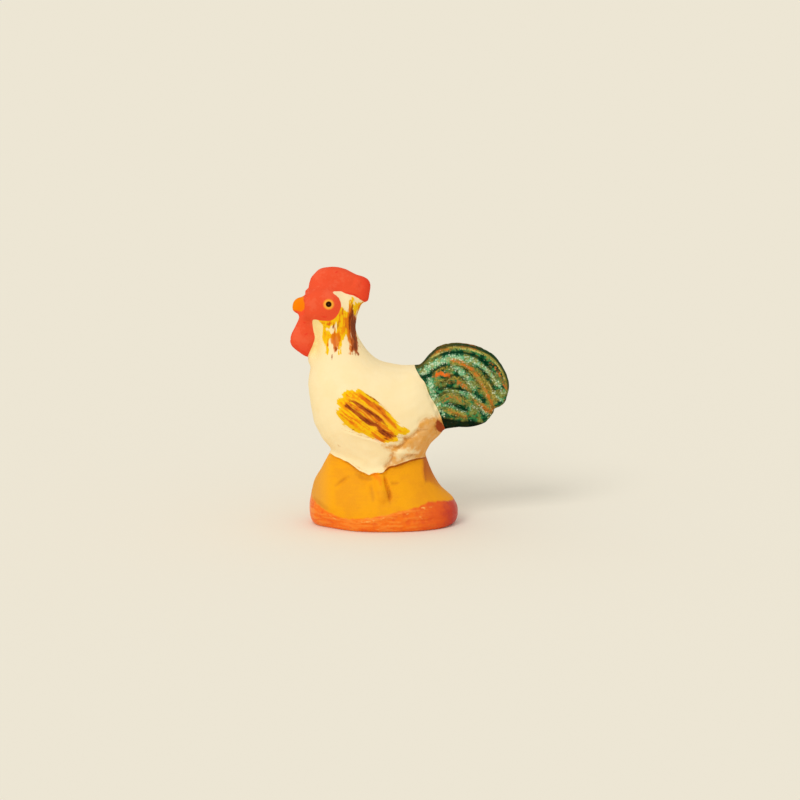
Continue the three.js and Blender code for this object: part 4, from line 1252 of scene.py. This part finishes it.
def bird_paint():
    paint = Paint("painted_clay", CREAM)
    x, y, z = paint.parts()
    up = z - abs(y) * SLOPE
    cloud = paint.noise(0.35, 3)
    patch = paint.noise(1.0, 3)
    fine = paint.noise(2.6, 3)
    grain = paint.noise(7.0, 2)
    waver = fine - 0.5
    down_neck = paint.noise(2.6, 2, paint.vector_of(x, y, z * 0.09))
    along = x * math.cos(WING_SLANT) - z * math.sin(WING_SLANT)
    across = x * math.sin(WING_SLANT) + z * math.cos(WING_SLANT)
    down_wing = paint.noise(3.2, 2, paint.vector_of(along * 0.12, y * 0.3, across))
    on_neck = paint.step(z, 23.5, 24.5)
    bristle = down_wing + (down_neck - down_wing) * on_neck - 0.5
    ragged = bristle + waver * 0.25

    paint.brush(CREAM_WARM, paint.step(cloud, 0.4, 0.62) * 0.7)
    paint.brush(CREAM_NECK, paint.step(x, -8.3, -9.8) * paint.step(z, 25.0, 28.5) * 0.8)
    # Ochre on the rump, partly a washed coat and partly painted shade; in the tool marks' hollows it is painted
    # shade.
    washed_and_shaded = paint.where("rump", -0.4, 0.5, (patch - 0.5) * 1.4, waver * 0.5) * (0.5 + patch * 0.8)
    hollow = paint.where("relief", -0.06, -0.3, waver * 0.1) * 0.5
    paint.brush(OCHRE_WASH_AND_SHADE, paint.math("MAXIMUM", washed_and_shaded, hollow, clamp=True))
    # Painted shade in the creases.
    paint.brush(OCHRE_CREASE_SHADE, paint.where("crease_shade", -0.12, 0.16, waver * 0.2) * (0.35 + patch * 0.5))
    paint.brush(TERRACOTTA_PAINT, paint.where("terracotta", -0.1, 0.15, waver * 0.4))

    deeper = paint.step(bristle + waver * 0.5, -0.12, 0.1) * paint.where("yellow", 0.15, 0.7)
    covered = paint.where("yellow", -0.08, 0.1, ragged)
    paint.brush(paint.mixed(YELLOW, YELLOW_DEEP, deeper), covered)
    orange_at = paint.layer("orange") + ragged * 0.9
    orange = paint.mixed(ORANGE, ORANGE_DEEP, paint.step(orange_at * 0.6 + ragged * 2.0, 0.1, 0.5))
    paint.brush(orange, paint.step(orange_at, -0.1, 0.18) * 0.94)
    brown_at = paint.layer("brown") + ragged * 0.8
    brown = paint.mixed(BROWN, BROWN_DARK, paint.step(brown_at + ragged * 1.6, 0.15, 0.6))
    paint.brush(brown, paint.step(brown_at, -0.1, 0.2) * 0.97)
    # Painted highlights on the wing's ridges.
    paint.brush(HIGHLIGHT_YELLOW, paint.where("pale", -0.05, 0.1, ragged * 0.5) * 0.85)

    red = paint.mixed(RED, RED_LIGHT, paint.step(cloud + waver * 0.4, 0.48, 0.66))
    red_ends = paint.math("MAXIMUM", paint.step(x, -4.6, -2.6), paint.step(z, 29.0, 26.8))
    dabs = paint.where("dabs", -0.08, 0.08, waver * 0.15)
    red = paint.mixed(red, RED_DEEP, paint.math("MAXIMUM", red_ends * 0.6, dabs * 0.8))
    red_edge = paint.where("red", -0.05, 0.05, waver * 0.12)
    paint.brush(red, red_edge)
    paint.brush(BEAK, paint.where("beak", -0.15, 0.15, waver * 0.3) * paint.step(z, 35.35, 35.1))

    eye_x, eye_up = x - EYE_AT[0], up - EYE_AT[1]
    ray = paint.math("SQRT", eye_x * eye_x + eye_up * eye_up) + waver * 0.08
    on_head = paint.step(z, 31.0, 31.5)
    for ring, outer, inner in EYE_RINGS:
        paint.brush(ring, paint.step(ray, outer, inner) * on_head)

    painted = paint.math("MAXIMUM", covered, red_edge)
    height = grain * 0.3 + fine * 0.7 + bristle * covered * 1.6
    shine = paint.step(ray, 0.9, 0.7) * on_head
    roughness = 0.72 - painted * 0.1 - shine * 0.3 + (grain - 0.5) * 0.1
    return paint.finish(roughness, height, depth=0.03, specular=0.02)


# %% [markdown]
# The tail's paint is glossy, over a green with pale specks in it, painted highlights that stand for its
# glitter. The copper and olive are brushed on nearly dry: they catch on what stands out, so the sculpted
# relief decides where they are.

# %% Tail paint
GREEN_DEEP = colour(6, 60, 34)
GREEN = colour(56, 132, 76)
GREEN_LIGHT = colour(134, 192, 142)
MINT_PALE = colour(226, 238, 200)
OLIVE_PAINT = colour(134, 110, 32)
OLIVE_LIGHT = colour(182, 162, 66)
COPPER_PAINT = colour(132, 74, 26)
COPPER_BRIGHT = colour(200, 114, 38)
EMBER_PAINT = colour(236, 112, 32)
STRAW = colour(214, 200, 120)
RIM_BROWN_AND_SHADE = colour(66, 58, 24)
NEARLY_BLACK = colour(14, 24, 16)


def tail_paint():
    paint = Paint("glossy_tail", GREEN_DEEP)
    x = paint.parts()[0]
    cloud = paint.noise(0.8, 3)
    patch = paint.noise(1.8, 3)
    fine = paint.noise(4.2, 3)
    far, number = paint.spots(3.0)
    relief = paint.layer("relief")
    mint = paint.layer("mint")
    waver, wide_waver = fine - 0.5, patch - 0.5
    broken = waver * 1.3 + wide_waver * 1.3

    paint.brush(GREEN, paint.step(cloud + wide_waver * 0.9 + relief * 0.7, 0.36, 0.6))
    paint.brush(GREEN_LIGHT, paint.step(mint + broken * 1.2, -0.25, 0.45) * 0.86)
    olive = paint.mixed(OLIVE_PAINT, OLIVE_LIGHT, paint.step(fine + relief * 0.4, 0.4, 0.62))
    olive_at = paint.where("olive", -0.2, 0.3, broken * 0.7) * 0.88
    spread = paint.step(cloud - patch * 0.5, 0.22, 0.34) * 0.55
    paint.brush(olive, paint.math("MAXIMUM", olive_at, spread))
    # Brown along the tail's edges: partly the outer feather's brown rim, partly painted shade where the surface turns
    # away.
    edge = paint.where("turned", 0.5, 0.95, wide_waver * 0.3)
    paint.brush(RIM_BROWN_AND_SHADE, edge * (0.6 + fine * 0.4))
    bright = paint.step(patch + fine * 0.6 + relief * 0.3, 0.76, 0.96)
    copper_at = paint.where("copper", -0.15, 0.35, broken * 0.8) * (0.6 + fine * 0.5)
    paint.brush(paint.mixed(COPPER_PAINT, COPPER_BRIGHT, bright), copper_at)
    ember = paint.where("ember", -0.1, 0.25, broken * 0.5)
    paint.brush(EMBER_PAINT, ember * (0.1 + patch * 0.7 + paint.step(x, 11.6, 10.6) * 0.5))
    # Painted highlights along the ridges.
    paint.brush(STRAW, paint.where("light", -0.06, 0.1, waver * 0.3) * 0.75)
    # Painted shade: deep green in the grooves, along the outline and in the tool marks' hollows.
    tail_shade = paint.where("tail_shade", -0.1, 0.2, waver * 0.5)
    paint.brush(GREEN_DEEP, tail_shade * 0.88)
    paint.brush(GREEN_DEEP, paint.step(relief, -0.06, -0.34) * 0.5)
    # Pale specks as painted sparkle highlights.
    chance = number * 0.4 + fine * 0.5 + paint.step(mint, -0.4, 0.2) * 0.34
    sparkle_specks = paint.step(far, 0.6, 0.15) * paint.step(chance, 0.6, 0.72)
    paint.brush(MINT_PALE, sparkle_specks * (1 - tail_shade * 0.6) * 0.75)
    # Painted shade: the tail's underside nearly black.
    under = paint.where("underside", -0.2, 0.25, wide_waver * 0.8)
    paint.brush(NEARLY_BLACK, under * 0.95)

    height = sparkle_specks * 0.6 + fine * 0.8 + patch * 0.8
    clear = 0.2 - paint.math("MAXIMUM", under, edge) * 0.19
    paint.set({"Coat IOR": 1.3})
    return paint.finish(0.36 + waver * 0.3, height, depth=0.07, specular=0.0, clear=clear)


# %% [markdown]
# The mound is a satin ochre, with painted shade in its grooves and under the belly, darker at its front end
# and redder and darker behind as painted shade. The orange rim is a glossier paint, thick enough to hold the
# brush's marks.

# %% Mound paint
OCHRE = colour(248, 168, 20)
OCHRE_DULL = colour(238, 156, 28)
OCHRE_FRONT_SHADE = colour(228, 160, 64)
OCHRE_SHADED = colour(206, 132, 34)
OCHRE_REAR_SHADE = colour(196, 104, 38)
RIM_ORANGE = colour(248, 120, 26)
RIM_LIGHT = colour(253, 152, 54)
RIM_RED = colour(234, 94, 30)
RIM_DEEP = colour(192, 48, 42)
RIM_GLINT = colour(254, 190, 96)
SHADE = colour(158, 74, 22)


def mound_paint():
    paint = Paint("mound_ochre", OCHRE)
    x, y, z = paint.parts()
    cloud = paint.noise(0.3, 3)
    patch = paint.noise(1.1, 3)
    fine = paint.noise(3.5, 3)
    streaks = paint.noise(1.6, 3, paint.vector_of(x * 0.3, y * 0.3, z * 1.8))
    waver, wide_waver, streak_waver = fine - 0.5, patch - 0.5, streaks - 0.5

    paint.brush(OCHRE_DULL, paint.step(cloud + streak_waver * 0.3, 0.4, 0.7) * 0.8)
    # Painted shade: duller and darker towards the front end, where the mound curves away.
    paint.brush(OCHRE_FRONT_SHADE, paint.step(x, -7.5, -10.8) * 0.8)
    # Painted shade in the grooves and under the belly.
    paint.brush(OCHRE_SHADED, paint.where("mound_shade", -0.4, 0.4, wide_waver * 0.7) * 0.6)
    paint.brush(OCHRE_DULL, paint.step(x, 2.5, 6.5) * 0.6)
    # Painted shade on the rear face, turned from the lamp.
    rear = paint.where("rear", -0.35, 0.35, wide_waver * 0.5)
    paint.brush(OCHRE_REAR_SHADE, rear * paint.step(z, 3.5, 9.5) * 0.95)
    paint.brush(RIM_ORANGE, paint.where("leg_foot", -0.3, 0.3, waver * 0.4) * 0.55)
    # Painted shade in the tool marks' hollows, and a painted shadow under the hem.
    paint.brush(SHADE, paint.where("relief", -0.08, -0.4) * 0.25)
    paint.brush(SHADE, paint.where("hem_shadow", -0.06, 0.12, waver * 0.12) * 0.85)

    rim = paint.where("rim", -0.2, 0.2, wide_waver * 0.5, waver * 0.25)
    rim_coat = RIM_ORANGE
    for over, share in (
        (RIM_LIGHT, paint.step(streaks + waver * 0.3, 0.44, 0.62) * 0.7),
        (RIM_RED, paint.step(x + wide_waver * 7, 2.5, 8.5)),
        (RIM_RED, paint.step(patch - streak_waver * 0.5, 0.54, 0.68) * 0.5),
        (RIM_DEEP, paint.step(x + wide_waver * 2, 8.2, 10.8) * 0.85),
    ):
        rim_coat = paint.mixed(rim_coat, over, share)
    paint.brush(rim_coat, rim)
    paint.brush(RIM_GLINT, paint.where("glints", -0.04, 0.1, waver * 0.35, streak_waver * 0.3) * 0.8)

    height = streaks * rim * 1.8 + patch * 0.8 + fine * 0.5
    roughness = 0.55 - rim * 0.22 + waver * 0.12
    return paint.finish(roughness, height, depth=0.06, specular=0.05, clear=rim * 0.14)


# %% [markdown]
# Each piece gets its coat, goes from the bench's millimetres to metres, and takes its CAD form's place.
# Faces that bend from each other by less than the smooth angle are shaded as one surface, and the rims of
# the cuts stay sharp.

# %% Finish the pieces
SMOOTH_ANGLE = math.radians(24)
TAIL_ANGLE = math.radians(50)  # its cut grooves are narrower than a few faces

bird_coat, tail_coat, mound_coat = bird_paint(), tail_paint(), mound_paint()
for node, piece in pieces.items():
    piece.name = "clay_" + node
    resized(piece, MM)
    bpy.ops.object.shade_smooth_by_angle(angle=TAIL_ANGLE if node in TAIL_FORMS else SMOOTH_ANGLE)
    piece.data.materials.clear()
    coat = tail_coat if node in TAIL_FORMS else mound_coat if node in MOUND_PIECES else bird_coat
    piece.data.materials.append(coat)
    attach(piece, "root")
    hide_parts(node)
print(sum(len(piece.data.polygons) for piece in pieces.values()), "faces in", len(pieces), "pieces")

# %% [markdown]
# The light is soft and plain: a pale room all round, and a wide lamp from the upper left in front. The
# floor and the room behind it show the same cream, so no horizon can be seen, and the floor keeps the
# bird's shadow.

# %% Light and floor
BACKDROP = colour(237, 230, 212)
ROOM = 0.72
LAMP = 1.05
LAMP_WIDTH = math.radians(24)
LAMP_FROM = Vector((-0.55, -1.0, 0.95))
FLOOR_SIZE = 8  # in metres
FLOOR_LIT = 0.935  # how brightly the room and the lamp together light the floor

scene = bpy.context.scene
scene.view_settings.view_transform = "Standard"
bpy.ops.object.select_all(action="DESELECT")
bpy.ops.object.light_add(type="SUN", rotation=LAMP_FROM.to_track_quat("Z", "Y").to_euler())
lamp = bpy.context.object
lamp.name = "lamp"
lamp.data.energy = LAMP
lamp.data.angle = LAMP_WIDTH

room = bpy.data.worlds.new("room")
scene.world = room
room.use_nodes = True
tree = room.node_tree
light = tree.nodes["Background"]
light.inputs["Color"].default_value = (1, 1, 1, 1)
light.inputs["Strength"].default_value = ROOM
shown = tree.nodes.new("ShaderNodeBackground")
shown.inputs["Color"].default_value = BACKDROP
path = tree.nodes.new("ShaderNodeLightPath")
seen = path.outputs["Is Camera Ray"]
for ray in ("Is Transmission Ray", "Is Glossy Ray"):
    either = tree.nodes.new("ShaderNodeMath")
    either.operation = "MAXIMUM"
    tree.links.new(seen, either.inputs[0])
    tree.links.new(path.outputs[ray], either.inputs[1])
    seen = either.outputs[0]
mix = tree.nodes.new("ShaderNodeMixShader")
for i, output in enumerate((seen, light.outputs[0], shown.outputs[0])):
    tree.links.new(output, mix.inputs[i])
tree.links.new(mix.outputs[0], tree.nodes["World Output"].inputs[0])

bpy.ops.mesh.primitive_plane_add(size=FLOOR_SIZE)
floor = bpy.context.object
floor.name = "floor"
plain = Paint("floor_cream")
lit = tuple(c / FLOOR_LIT for c in BACKDROP[:3]) + (1,)
plain.set({"Base Color": lit, "Roughness": 1.0, "Specular IOR Level": 0.0})
floor.data.materials.append(plain.material)
print("lamp strength", LAMP, "and room strength", ROOM)
